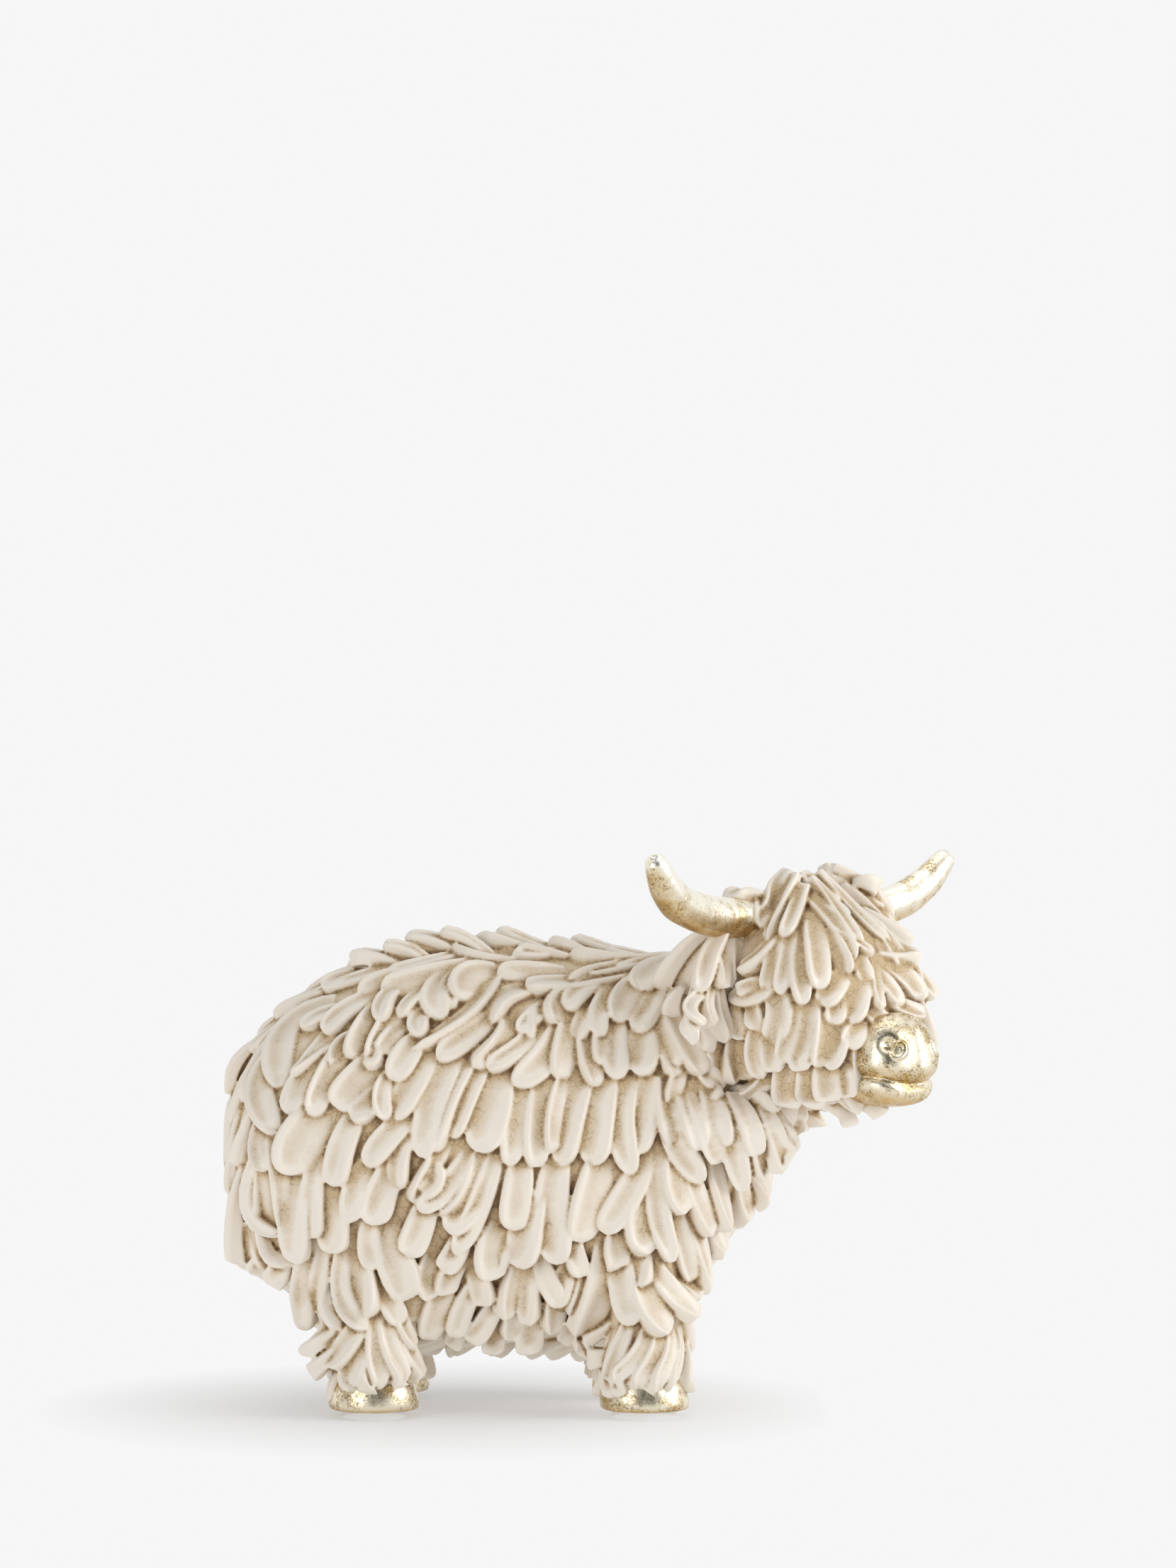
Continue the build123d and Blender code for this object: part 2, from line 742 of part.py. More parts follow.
def ear_locks(side):
    """Locks that hang from the outer face of one ear."""
    solids = []
    for step in range(ear_lock_count):
        place = step / (ear_lock_count - 1)
        share = ear_first_lock_share + (ear_last_lock_share - ear_first_lock_share) * place
        out, drop, forward, wide = [
            np.interp(share, [row[0] for row in ear_shares], [row[column] for row in ear_shares])
            for column in range(4)
        ]
        top = ear_root_height - ear_drop * drop + ear_half_width * wide / 2
        root = head_place(side * ear_reach * out, ear_reach * forward + ear_half_thickness, top)
        length = lock_width * ear_lock_longer
        solids.append(make_lock([hung((root, facing), up * -1, length * place[0]) for place in lock_shares]))
    return solids


# Tail
def tail_bearing(elevation):
    """Bearing of the tail at an elevation on the rump."""
    return tail_sweep * (tail_high_angle - elevation) / (tail_high_angle - tail_low_angle)


def make_tail(skins):
    """The flat tail that lies along the rump."""
    stations = []
    for number in range(len(tail_shares)):
        place = number / (len(tail_shares) - 1)
        elevation = tail_high_angle + (tail_low_angle - tail_high_angle) * place
        stations.append(on_dome(skins, rump_centre, ahead * -1, tail_bearing(elevation), elevation))
    sections = []
    for number, (point, normal) in enumerate(stations):
        run = stations[min(number + 1, len(stations) - 1)][0] - stations[max(number - 1, 0)][0]
        across = run.cross(normal).normalized()
        thick = tail_half_thickness * tail_shares[number]
        middle = point + normal * (lock_gap + tail_half_thickness)
        sections.append(oval_section(middle, across, normal, tail_half_width * tail_shares[number], thick))
    return Solid.make_loft(sections)


# The whole figurine
def make_figurine():
    """Every node of the figurine, by name."""
    dice = random.Random(dice_seed)
    barrel = make_barrel()
    neck = make_neck()
    skull = make_skull()
    body_core = make_body_core(barrel, neck)
    head_core = make_head_core(skull)
    skin = [Skin(barrel), Skin(neck)]
    scalp = [Skin(skull)]
    nodes = {}
    nodes["body_casting"] = [make_body_casting(body_core)]
    nodes["belly_plug"] = [make_plug()]
    nodes["head_casting"] = [make_head_casting(head_core)]
    nodes["muzzle"] = [make_muzzle()]
    nodes["tail"] = [make_tail(skin)]
    nodes["coat_ridge"] = ridge_locks(skin)
    for hand, side in (("right", -1), ("left", 1)):
        ear = make_ear(side, head_core)
        nodes["ear_" + hand] = [ear]
        nodes["horn_" + hand] = [make_horn(side, head_core)]
        nodes["horn_pin_" + hand] = [make_pin(side)]
        flank = (side, dice, body_rear, body_length)
        nodes["coat_upper_" + hand] = flank_locks(skin, upper_flank_shares, *flank)
        nodes["coat_lower_" + hand] = flank_locks(skin, lower_flank_shares, *flank)
        neck_rows = neck_left_shares if side > 0 else neck_right_shares
        neck = (side, dice, body_front - neck_rows_reach, neck_rows_reach)
        nodes["coat_neck_" + hand] = flank_locks(skin, neck_rows, *neck)
        nodes["coat_ear_" + hand] = ear_locks(side)
    nodes["coat_rump"] = dome_locks(skin, rump_centre, ahead * -1, rump_shares, dice, tail_bearing)
    nodes["coat_chest"] = dome_locks(skin, chest_centre, ahead, chest_shares, dice)
    nodes["coat_belly"] = belly_locks(skin)
    for name, x, y, side in leg_places():
        nodes["hoof_" + name] = [make_hoof(x, y)]
        nodes["pad_" + name] = [make_pad(x, y)]
        nodes["coat_leg_" + name] = leg_locks(skin, x, y, side)
    head_centre = head_place(0, head_centre_forward, head_centre_height)
    crown = dome_locks(scalp, head_centre, facing, crown_front_shares + crown_back_shares, dice)
    nodes["coat_crown"] = crown
    nodes["coat_fringe"] = dome_locks(scalp, head_centre, facing, fringe_shares, dice)
    nodes["coat_chin"] = dome_locks(scalp, head_centre, facing, chin_shares, dice)
    for hand, side in (("right", -1), ("left", 1)):
        rows = []
        for elevation, longer, free, first, last, count in cheek_shares:
            rows.append((elevation, longer, free, side * first, side * last, count))
        nodes["coat_cheek_" + hand] = dome_locks(scalp, head_centre, facing, rows, dice)
    return nodes


def main():
    """Make, centre and write every node."""
    nodes = make_figurine()
    box = Compound([solid for solids in nodes.values() for solid in solids]).bounding_box()
    shift = Vector(-box.center().X, -box.center().Y, -box.min.Z)
    os.makedirs("parts", exist_ok=True)
    for name, solids in nodes.items():
        moved = [solid.translate(shift) for solid in solids]
        shape = moved[0] if len(moved) == 1 else Compound(moved)
        export_step(shape, "parts/" + name + ".step")
    print("size", box.size, "shift", shift, "solids", sum(len(solids) for solids in nodes.values()))


main()
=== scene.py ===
# %% [markdown]
# # A long-haired cow, cast in cream resin, with gilded horns, muzzle and hooves
# Such a figurine is modelled in clay, then moulded and cast in filled polyester resin. Each lock of its coat
# looks like one stroke of a finger or a loop tool. The coat could be a displaced texture, but strokes that
# are laid one by one give the undercuts and the ragged outline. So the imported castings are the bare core
# here, each lock is a spoon-shaped stroke on that core, and locks and core are fused into one skin.

# %% Start
import math
import random

import bmesh
import bpy
import numpy as np
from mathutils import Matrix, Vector
from mathutils.bvhtree import BVHTree


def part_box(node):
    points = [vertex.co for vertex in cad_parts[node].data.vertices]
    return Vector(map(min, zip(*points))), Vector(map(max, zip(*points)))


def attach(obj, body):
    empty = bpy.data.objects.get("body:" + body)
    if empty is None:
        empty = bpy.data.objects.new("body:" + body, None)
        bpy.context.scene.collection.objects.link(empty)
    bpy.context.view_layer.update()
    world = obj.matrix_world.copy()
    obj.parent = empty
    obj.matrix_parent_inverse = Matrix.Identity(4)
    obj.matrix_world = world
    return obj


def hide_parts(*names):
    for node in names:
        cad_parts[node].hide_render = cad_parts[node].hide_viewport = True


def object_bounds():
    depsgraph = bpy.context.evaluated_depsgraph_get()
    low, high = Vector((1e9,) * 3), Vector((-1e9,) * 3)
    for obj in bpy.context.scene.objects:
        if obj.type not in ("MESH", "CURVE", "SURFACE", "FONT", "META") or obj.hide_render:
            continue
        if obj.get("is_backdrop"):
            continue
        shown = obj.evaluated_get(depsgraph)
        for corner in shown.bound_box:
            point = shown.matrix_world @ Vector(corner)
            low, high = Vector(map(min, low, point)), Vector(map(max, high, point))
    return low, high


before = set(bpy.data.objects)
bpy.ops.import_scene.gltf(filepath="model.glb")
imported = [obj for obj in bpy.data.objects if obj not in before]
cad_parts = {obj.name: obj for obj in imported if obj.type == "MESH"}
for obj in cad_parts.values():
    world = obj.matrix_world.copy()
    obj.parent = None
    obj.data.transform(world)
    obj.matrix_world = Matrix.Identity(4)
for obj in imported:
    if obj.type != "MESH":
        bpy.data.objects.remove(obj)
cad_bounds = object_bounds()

MM = 0.001
dice = random.Random(11)
print("packed nodes", len(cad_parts))

# %% [markdown]
# ## Where the camera stands
# A render can be laid over the photograph only when both are seen from one place. The camera is a little
# above the top of the head, about 1.6 m away, and looks along +Y. The middle of the body is found from the
# pad under the near front hoof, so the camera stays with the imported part.

# %% Camera
photo_size = (1659, 2212)
focal_pixels = 7320.0
SENSOR_HEIGHT = 36.0
EYE_AWAY, EYE_HEIGHT = 1625.0, 195.0
front_pad_from_middle = Vector((17.3, -25.0, 0.0)) * MM
pad_low, pad_high = (Vector(corner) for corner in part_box("pad_front_right"))
middle = (pad_low + pad_high) / 2 - front_pad_from_middle
middle.z = 0.0
eye = middle + Vector((0.0, -EYE_AWAY, EYE_HEIGHT)) * MM

camera_data = bpy.data.cameras.new("studio_camera")
camera_data.sensor_fit = "VERTICAL"
camera_data.sensor_height = SENSOR_HEIGHT
camera_data.lens = focal_pixels / photo_size[1] * SENSOR_HEIGHT
camera_data.clip_end = 20.0
camera = bpy.data.objects.new("studio_camera", camera_data)
camera.location = eye
camera.rotation_euler = (math.radians(90.0), 0.0, 0.0)
bpy.context.scene.collection.objects.link(camera)
bpy.context.scene.camera = camera
print("camera at", [round(v, 4) for v in eye])

# %% [markdown]
# ## Lines of sight
# A pixel of the photograph is a line of sight from the camera. The lock that is seen at that pixel grows
# where the line meets the core. This works on any curved part and needs no drawing plane.

# %% Lines of sight


def sight(px, py):
    """The direction of the line of sight through a pixel, one metre deep along Y."""
    return Vector(((px - photo_size[0] / 2) / focal_pixels, 1.0, (photo_size[1] / 2 - py) / focal_pixels))


def sight_back(place):
    """The direction from a place to the camera."""
    return (eye - place).normalized()


def from_middle(place):
    """Millimetres from the middle of the body."""
    return (place - middle) / MM


print("sight through the photograph's left edge", [round(v, 4) for v in sight(0, photo_size[1] / 2)])

# %% [markdown]
# ## The bare cores
# A search tree of each casting tells where a lock meets the surface and which way is out. The throat bulges
# on the figurine, and two eggs give the tree that bulge, so that the locks there stand where they are seen.

# %% Balls and trees
THROAT_EGGS = [((54.0, -8.0, 94.0), (13.0, 22.0, 9.0)), ((37.0, -31.0, 90.0), (25.0, 12.0, 9.0))]


def node_mesh(names):
    """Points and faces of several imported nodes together."""
    points, faces = [], []
    for name in names:
        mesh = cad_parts[name].data
        start = len(points)
        points += [vertex.co.copy() for vertex in mesh.vertices]
        faces += [[start + number for number in polygon.vertices] for polygon in mesh.polygons]
    return points, faces


def shaped_ball(subdivisions, shape):
    """Points and faces of a ball, each point put where shape says for its direction."""
    bpy.ops.mesh.primitive_ico_sphere_add(subdivisions=subdivisions, radius=1.0)
    blob = bpy.context.object
    points = [shape(vertex.co) for vertex in blob.data.vertices]
    faces = [tuple(polygon.vertices) for polygon in blob.data.polygons]
    bpy.data.objects.remove(blob)
    return points, faces


def egg(centre, half):
    """Points and faces of an egg, in millimetres from the middle of the body."""
    return shaped_ball(4, lambda way: middle + Vector([centre[axis] + way[axis] * half[axis]
                                                       for axis in range(3)]) * MM)


body_points, body_faces = node_mesh(["body_casting", "belly_plug"])
for centre, half in THROAT_EGGS:
    throat_points, throat_faces = egg(centre, half)
    body_faces += [[len(body_points) + number for number in face] for face in throat_faces]
    body_points += throat_points
head_points, head_faces = node_mesh(["head_casting"])
body_tree = BVHTree.FromPolygons(body_points, body_faces)
head_tree = BVHTree.FromPolygons(head_points, head_faces)
print("core faces", len(body_faces), len(head_faces))

# %% [markdown]
# ## One lock
# A finger stroke in clay leaves a shallow spoon with two raised rims, often one higher than the other. Here
# it is a line of stations, each with a place on the core and an outward direction, and a section across each
# station. The root is sunk in the core, the tip is round and stands proud, and a roll turns the lock on its
# line. A mesh is built straight from these numbers, which is quicker than a bevelled curve for each lock.

# %% Lock shape
LOCK_PLACES = np.array([0.0, 0.10, 0.22, 0.35, 0.48, 0.60, 0.71, 0.80, 0.87, 0.925, 0.965, 0.99, 1.0])
LOCK_WIDTHS = np.array([0.62, 0.76, 0.87, 0.94, 0.98, 1.00, 1.00, 0.96, 0.88, 0.76, 0.60, 0.42, 0.20])
LOCK_RISES = np.array([-0.30, -0.12, 0.08, 0.24, 0.38, 0.52, 0.66, 0.79, 0.90, 0.97, 0.99, 0.95, 0.88])
SECTION_SIDES = np.array([-1.0, -0.93, -0.76, -0.50, -0.22, 0.0, 0.22, 0.50, 0.76, 0.93, 1.0])
SECTION_RIMS = np.array([-0.30, 0.58, 0.92, 0.90, 0.76, 0.62, 0.54, 0.64, 1.00, 0.86, -0.30])
THICK_PLACES, THICK_SHARES = [0, 0.3, 0.75, 0.93, 1.0], [0.35, 0.8, 1.05, 0.95, 0.45]
UNDERSIDE = np.array([0.8, -0.8])
EDGE_SHARE = 0.35
ROOT_DEPTH = 2.2 * MM


def ring_faces(rings, around, turned=False):
    """Faces between rings of points, with a cap on each end. turned is for rings that run the other way."""
    faces = []
    for row in range(rings - 1):
        for step in range(around):
            after = (step + 1) % around
            faces.append((row * around + step, row * around + after,
                          (row + 1) * around + after, (row + 1) * around + step))
    first, last = range(around), range((rings - 1) * around, rings * around)
    caps = (first, reversed(last)) if turned else (reversed(first), last)
    return faces + [tuple(cap) for cap in caps]


def lock_mesh(points, normals, width, thickness, lift, hollow, roll, skew):
    """Points and faces of one closed lock, from its stations."""
    tangents = np.gradient(points, axis=0)
    tangents /= np.linalg.norm(tangents, axis=1)[:, None] + 1e-12
    outs = normals - tangents * np.sum(normals * tangents, axis=1)[:, None]
    outs /= np.linalg.norm(outs, axis=1)[:, None] + 1e-12
    sides = np.cross(tangents, outs)
    turn = roll * (0.2 + 1.3 * LOCK_PLACES[:, None])
    outs, sides = outs * np.cos(turn) + sides * np.sin(turn), sides * np.cos(turn) - outs * np.sin(turn)
    half = (width / 2 * LOCK_WIDTHS)[:, None]
    rims = 1 - hollow + hollow * SECTION_RIMS
    rims = rims * (1 + skew * SECTION_SIDES)
    rims[[0, -1]] *= EDGE_SHARE
    thick = thickness * np.interp(LOCK_PLACES, THICK_PLACES, THICK_SHARES)
    rise = (lift * LOCK_RISES)[:, None] + thick[:, None] * rims[None, :]
    top = (points[:, None, :] + sides[:, None, :] * (half * SECTION_SIDES[None, :])[:, :, None]
           + outs[:, None, :] * rise[:, :, None])
    low = (points[:, None, :] + sides[:, None, :] * (half * UNDERSIDE[None, :])[:, :, None]
           - outs[:, None, :] * ROOT_DEPTH)
    rows = np.concatenate([top, low], axis=1)
    return rows.reshape(-1, 3), ring_faces(rows.shape[0], rows.shape[1])


print("points in a lock", len(LOCK_PLACES) * (len(SECTION_SIDES) + len(UNDERSIDE)))

# %% [markdown]
# ## Three outlines that the locks are drawn back to
# Free strokes soon hang lower than the real ones. The edge of the chest, of the chin and of the rump is read
# in pixels of the photograph, and what would stand beyond it is drawn most of the way back.

# %% Outlines
CHEST_OUTLINE = [
    (978, 1990), (985, 1859), (1001, 1822), (1019, 1770), (1048, 1729), (1081, 1703), (1092, 1656),
    (1118, 1620), (1144, 1596), (1200, 1560),
]
CHIN_OUTLINE = [
    (1100, 1660), (1125, 1601), (1162, 1595), (1206, 1586), (1238, 1567), (1270, 1556), (1311, 1534),
    (1345, 1500),
]
RUMP_OUTLINE = [
    (290, 1760), (330, 1782), (381, 1809), (415, 1831), (421, 1867), (430, 1990),
]
ACROSS_PER_PIXEL, UP_PER_PIXEL = 0.222, 0.2186
OUTLINE_PULL = 0.85


def outline(readings):
    """Heights and lengths, in metres, of an outline that is read in pixels of the photograph."""
    lengths = np.array([middle.x + (px - photo_size[0] / 2) * ACROSS_PER_PIXEL * MM for px, py in readings])
    heights = np.array([(EYE_HEIGHT - (py - photo_size[1] / 2) * UP_PER_PIXEL) * MM for px, py in readings])
    return lengths, heights


def raised(points, readings):
    """Points drawn up to an outline where they would hang under it."""
    lengths, heights = outline(readings)
    above = np.interp(points[:, 0], lengths, heights) - points[:, 2]
    near_it = (points[:, 0] > lengths[0]) & (points[:, 0] < lengths[-1])
    points[:, 2] += np.where(near_it, np.maximum(0.0, above), 0.0) * OUTLINE_PULL
    return points


def drawn_back(points, readings):
    """Points drawn towards the rear where they would stand ahead of an outline."""
    lengths, heights = outline(readings)
    beyond = points[:, 0] - np.interp(points[:, 2], heights, lengths)
    beside_it = (points[:, 2] > heights[0]) & (points[:, 2] < heights[-1])
    points[:, 0] -= np.where(beside_it, np.maximum(0.0, beyond), 0.0) * OUTLINE_PULL
    return points


print("readings", len(CHEST_OUTLINE), len(CHIN_OUTLINE), len(RUMP_OUTLINE))

# %% [markdown]
# ## A coat
# A coat collects all the locks that are to be fused with one casting. It keeps each point softly inside the
# packed box and the outlines, and gives each lock its share of chance: its roll, its higher rim, its
# thickness and how proud it stands.

# %% Coat
SOFT_EDGE = 2.5 * MM


class Coat:
    """The locks that are fused with one casting."""

    def __init__(self, region=None):
        self.points, self.faces, self.count, self.size = [], [], 0, 0
        self.region = region

    def add(self, points, faces):
        """Take in one closed mesh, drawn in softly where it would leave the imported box."""
        points = np.array(points, dtype=float)
        low, high = (np.array(corner) for corner in cad_bounds)
        for room, sign in ((high - points, 1.0), (points - low, -1.0)):
            excess = np.maximum(0.0, SOFT_EDGE - room)
            points -= sign * (excess - SOFT_EDGE * (1 - np.exp(-excess / SOFT_EDGE)))
        if self.region == "head":
            points = raised(points, CHIN_OUTLINE)
        if self.region == "body":
            points = drawn_back(raised(points, RUMP_OUTLINE), CHEST_OUTLINE)
        self.points.append(points)
        self.faces += [tuple(self.size + number for number in face) for face in faces]
        self.size += len(points)
        self.count += 1

    def lock(self, points, normals, width, thickness=2.0, lift=1.3, hollow=0.66, roll=None, skew=None):
        """Take in one lock, with a little chance in its roll and in which rim is higher."""
        roll = dice.choice((-1, 1)) * dice.uniform(0.05, 0.45) if roll is None else roll
        skew = dice.uniform(-0.45, 0.45) if skew is None else skew
        thickness *= dice.uniform(0.90, 1.25)
        lift *= dice.uniform(0.5, 1.9)
        self.add(*lock_mesh(points, normals, width, thickness * MM, lift * MM, hollow, roll, skew))


body_coat = Coat("body")
head_coat = Coat("head")
print("coats started", body_coat.region, head_coat.region)

# %% [markdown]
# ## Locks on the side that the photograph shows
# The eye knows a coat by its main strokes, so these are read one by one and not scattered. Each reading is
# the root, the middle and the tip in pixels of the photograph, then the width in pixels.

# %% Back and shoulder
BACK_LOCKS = [
    (562, 1358, 525, 1352, 494, 1356, 17), (600, 1352, 570, 1344, 543, 1345, 18),
    (650, 1340, 612, 1331, 574, 1332, 28), (690, 1347, 655, 1329, 622, 1323, 19),
    (760, 1347, 712, 1337, 668, 1327, 32), (800, 1348, 745, 1335, 698, 1319, 17),
    (900, 1351, 850, 1344, 803, 1332, 20), (840, 1352, 808, 1342, 772, 1339, 15),
    (512, 1363, 468, 1382, 434, 1412, 17), (600, 1354, 530, 1376, 462, 1401, 24),
    (575, 1374, 540, 1386, 506, 1405, 26), (645, 1367, 590, 1387, 538, 1399, 36),
    (642, 1347, 592, 1363, 547, 1375, 18), (718, 1353, 672, 1351, 636, 1341, 20),
    (803, 1346, 760, 1350, 722, 1351, 22), (782, 1371, 740, 1374, 702, 1371, 26),
    (812, 1386, 775, 1393, 743, 1401, 30), (940, 1351, 870, 1361, 802, 1353, 22),
    (930, 1352, 880, 1369, 822, 1379, 17), (900, 1374, 850, 1387, 797, 1401, 17),
    (955, 1348, 905, 1357, 862, 1371, 18), (880, 1360, 840, 1371, 806, 1390, 16),
]
SHOULDER_LOCKS = [
    (455, 1399, 415, 1415, 391, 1438, 18), (445, 1420, 400, 1462, 396, 1535, 44),
    (478, 1424, 450, 1438, 430, 1456, 28), (520, 1408, 485, 1432, 466, 1462, 30),
    (530, 1425, 508, 1460, 490, 1494, 28), (562, 1420, 542, 1460, 522, 1497, 30),
    (617, 1390, 584, 1411, 570, 1438, 21), (650, 1368, 612, 1402, 628, 1438, 36),
    (684, 1369, 655, 1384, 652, 1415, 38), (694, 1392, 655, 1440, 585, 1486, 22),
    (692, 1438, 655, 1471, 618, 1496, 27), (722, 1440, 705, 1475, 664, 1498, 30),
    (760, 1452, 730, 1485, 690, 1513, 24), (742, 1395, 705, 1412, 697, 1447, 34),
    (746, 1414, 735, 1440, 748, 1472, 34), (815, 1400, 782, 1417, 780, 1448, 30),
    (852, 1383, 820, 1400, 806, 1430, 26), (874, 1385, 842, 1428, 847, 1467, 25),
    (905, 1385, 880, 1410, 868, 1444, 36), (940, 1356, 915, 1376, 898, 1400, 38),
    (928, 1400, 916, 1430, 900, 1460, 30), (600, 1430, 590, 1445, 603, 1462, 26),
    (562, 1452, 548, 1470, 535, 1486, 24), (655, 1368, 635, 1395, 640, 1425, 24),
    (470, 1470, 440, 1500, 420, 1525, 20), (560, 1395, 545, 1415, 545, 1445, 26),
    (770, 1420, 750, 1440, 735, 1462, 22), (830, 1425, 822, 1445, 818, 1470, 24),
    (590, 1468, 572, 1490, 552, 1524, 34), (500, 1462, 478, 1480, 470, 1505, 22),
    (520, 1480, 530, 1495, 515, 1505, 26),
]
print("back and shoulder locks", len(BACK_LOCKS) + len(SHOULDER_LOCKS))

# %% Collar and flank
COLLAR_LOCKS = [
    (804, 1446, 795, 1485, 786, 1523, 34), (792, 1450, 768, 1495, 722, 1527, 36),
    (825, 1462, 830, 1500, 843, 1533, 26), (868, 1448, 866, 1485, 876, 1523, 32),
    (905, 1452, 908, 1480, 911, 1519, 36), (922, 1422, 940, 1468, 958, 1508, 26),
    (955, 1440, 970, 1480, 988, 1518, 34), (982, 1456, 1010, 1484, 1038, 1510, 20),
    (850, 1440, 848, 1475, 846, 1505, 26), (960, 1500, 953, 1530, 942, 1558, 22),
    (985, 1502, 1000, 1518, 1009, 1533, 27), (985, 1528, 1000, 1545, 1012, 1556, 32),
    (1020, 1520, 1056, 1540, 1092, 1572, 40), (935, 1480, 945, 1500, 950, 1520, 24),
    (1000, 1475, 1020, 1492, 1040, 1500, 18), (935, 1540, 943, 1575, 948, 1612, 30),
    (965, 1540, 976, 1578, 985, 1615, 30), (1000, 1545, 1013, 1580, 1024, 1614, 30),
    (1040, 1552, 1055, 1588, 1065, 1622, 28), (1080, 1568, 1092, 1600, 1100, 1628, 26),
    (1000, 1455, 1008, 1490, 1016, 1522, 22), (1018, 1460, 1026, 1495, 1034, 1530, 22),
    (1036, 1490, 1044, 1515, 1052, 1540, 20),
]
FLANK_LOCKS = [
    (347, 1478, 328, 1510, 326, 1543, 20), (378, 1453, 352, 1492, 342, 1535, 20),
    (400, 1447, 368, 1495, 353, 1555, 22), (387, 1487, 368, 1540, 393, 1602, 38),
    (337, 1540, 321, 1590, 313, 1646, 28), (362, 1550, 346, 1600, 340, 1645, 34),
    (455, 1476, 430, 1525, 406, 1572, 36), (484, 1480, 458, 1530, 440, 1574, 30),
    (522, 1503, 496, 1535, 474, 1563, 42), (548, 1530, 524, 1560, 500, 1583, 30),
    (602, 1494, 580, 1535, 558, 1580, 34), (546, 1520, 538, 1550, 547, 1580, 22),
    (634, 1500, 610, 1560, 599, 1633, 36), (658, 1502, 634, 1555, 621, 1625, 26),
    (678, 1510, 657, 1555, 641, 1606, 24), (702, 1518, 692, 1570, 680, 1626, 48),
    (735, 1542, 727, 1590, 716, 1643, 30), (765, 1530, 756, 1590, 752, 1646, 32),
    (792, 1528, 778, 1575, 772, 1626, 22), (818, 1535, 803, 1590, 797, 1643, 34),
    (852, 1530, 842, 1590, 839, 1643, 40), (882, 1540, 876, 1595, 893, 1654, 32),
    (914, 1536, 905, 1585, 896, 1628, 40), (940, 1552, 954, 1605, 988, 1662, 34),
    (982, 1552, 998, 1595, 1016, 1634, 30), (1020, 1550, 1036, 1605, 1044, 1673, 30),
    (1062, 1585, 1070, 1625, 1071, 1663, 26), (1088, 1595, 1095, 1625, 1091, 1655, 23),
    (1108, 1595, 1115, 1622, 1109, 1651, 21),
]
print("collar and flank locks", len(COLLAR_LOCKS) + len(FLANK_LOCKS))

# %% Lower side, skirt and tail
LOWER_LOCKS = [
    (336, 1655, 331, 1720, 338, 1788, 32), (450, 1576, 422, 1615, 417, 1657, 60),
    (372, 1578, 368, 1620, 380, 1652, 24), (497, 1582, 480, 1630, 481, 1672, 34),
    (582, 1572, 546, 1606, 521, 1646, 32), (580, 1592, 563, 1635, 571, 1675, 26),
    (625, 1618, 600, 1660, 577, 1692, 24), (512, 1650, 498, 1690, 503, 1721, 31),
    (552, 1650, 536, 1690, 533, 1727, 38), (657, 1638, 628, 1675, 588, 1701, 28),
    (674, 1648, 655, 1690, 619, 1709, 28), (682, 1678, 656, 1710, 632, 1737, 34),
    (735, 1645, 727, 1690, 718, 1733, 36), (694, 1650, 673, 1710, 643, 1768, 28),
    (750, 1678, 743, 1735, 741, 1787, 42), (783, 1648, 778, 1715, 794, 1779, 42),
    (845, 1648, 830, 1700, 812, 1750, 46), (806, 1742, 810, 1772, 818, 1801, 25),
    (905, 1648, 880, 1692, 849, 1737, 36), (917, 1676, 896, 1722, 912, 1771, 36),
    (926, 1638, 928, 1705, 945, 1780, 28), (950, 1638, 949, 1680, 963, 1711, 32),
    (975, 1658, 986, 1700, 1001, 1743, 28), (1010, 1650, 1015, 1695, 1022, 1737, 28),
    (1046, 1670, 1046, 1705, 1049, 1733, 26), (1068, 1660, 1075, 1685, 1080, 1710, 26),
    (955, 1718, 965, 1765, 973, 1806, 25), (980, 1728, 988, 1780, 990, 1826, 26),
    (1005, 1735, 1013, 1760, 1017, 1777, 24), (610, 1640, 618, 1665, 600, 1690, 24),
    (420, 1662, 416, 1725, 425, 1781, 40), (475, 1688, 472, 1735, 475, 1767, 40),
    (602, 1702, 588, 1740, 576, 1769, 36), (652, 1745, 641, 1772, 628, 1793, 30),
    (548, 1742, 560, 1785, 582, 1826, 46), (700, 1738, 690, 1770, 692, 1803, 40),
    (445, 1650, 440, 1700, 448, 1745, 30), (520, 1735, 522, 1765, 530, 1790, 30),
    (870, 1740, 868, 1765, 875, 1790, 30), (905, 1770, 905, 1795, 908, 1815, 30),
    (720, 1740, 708, 1765, 712, 1790, 24),
]
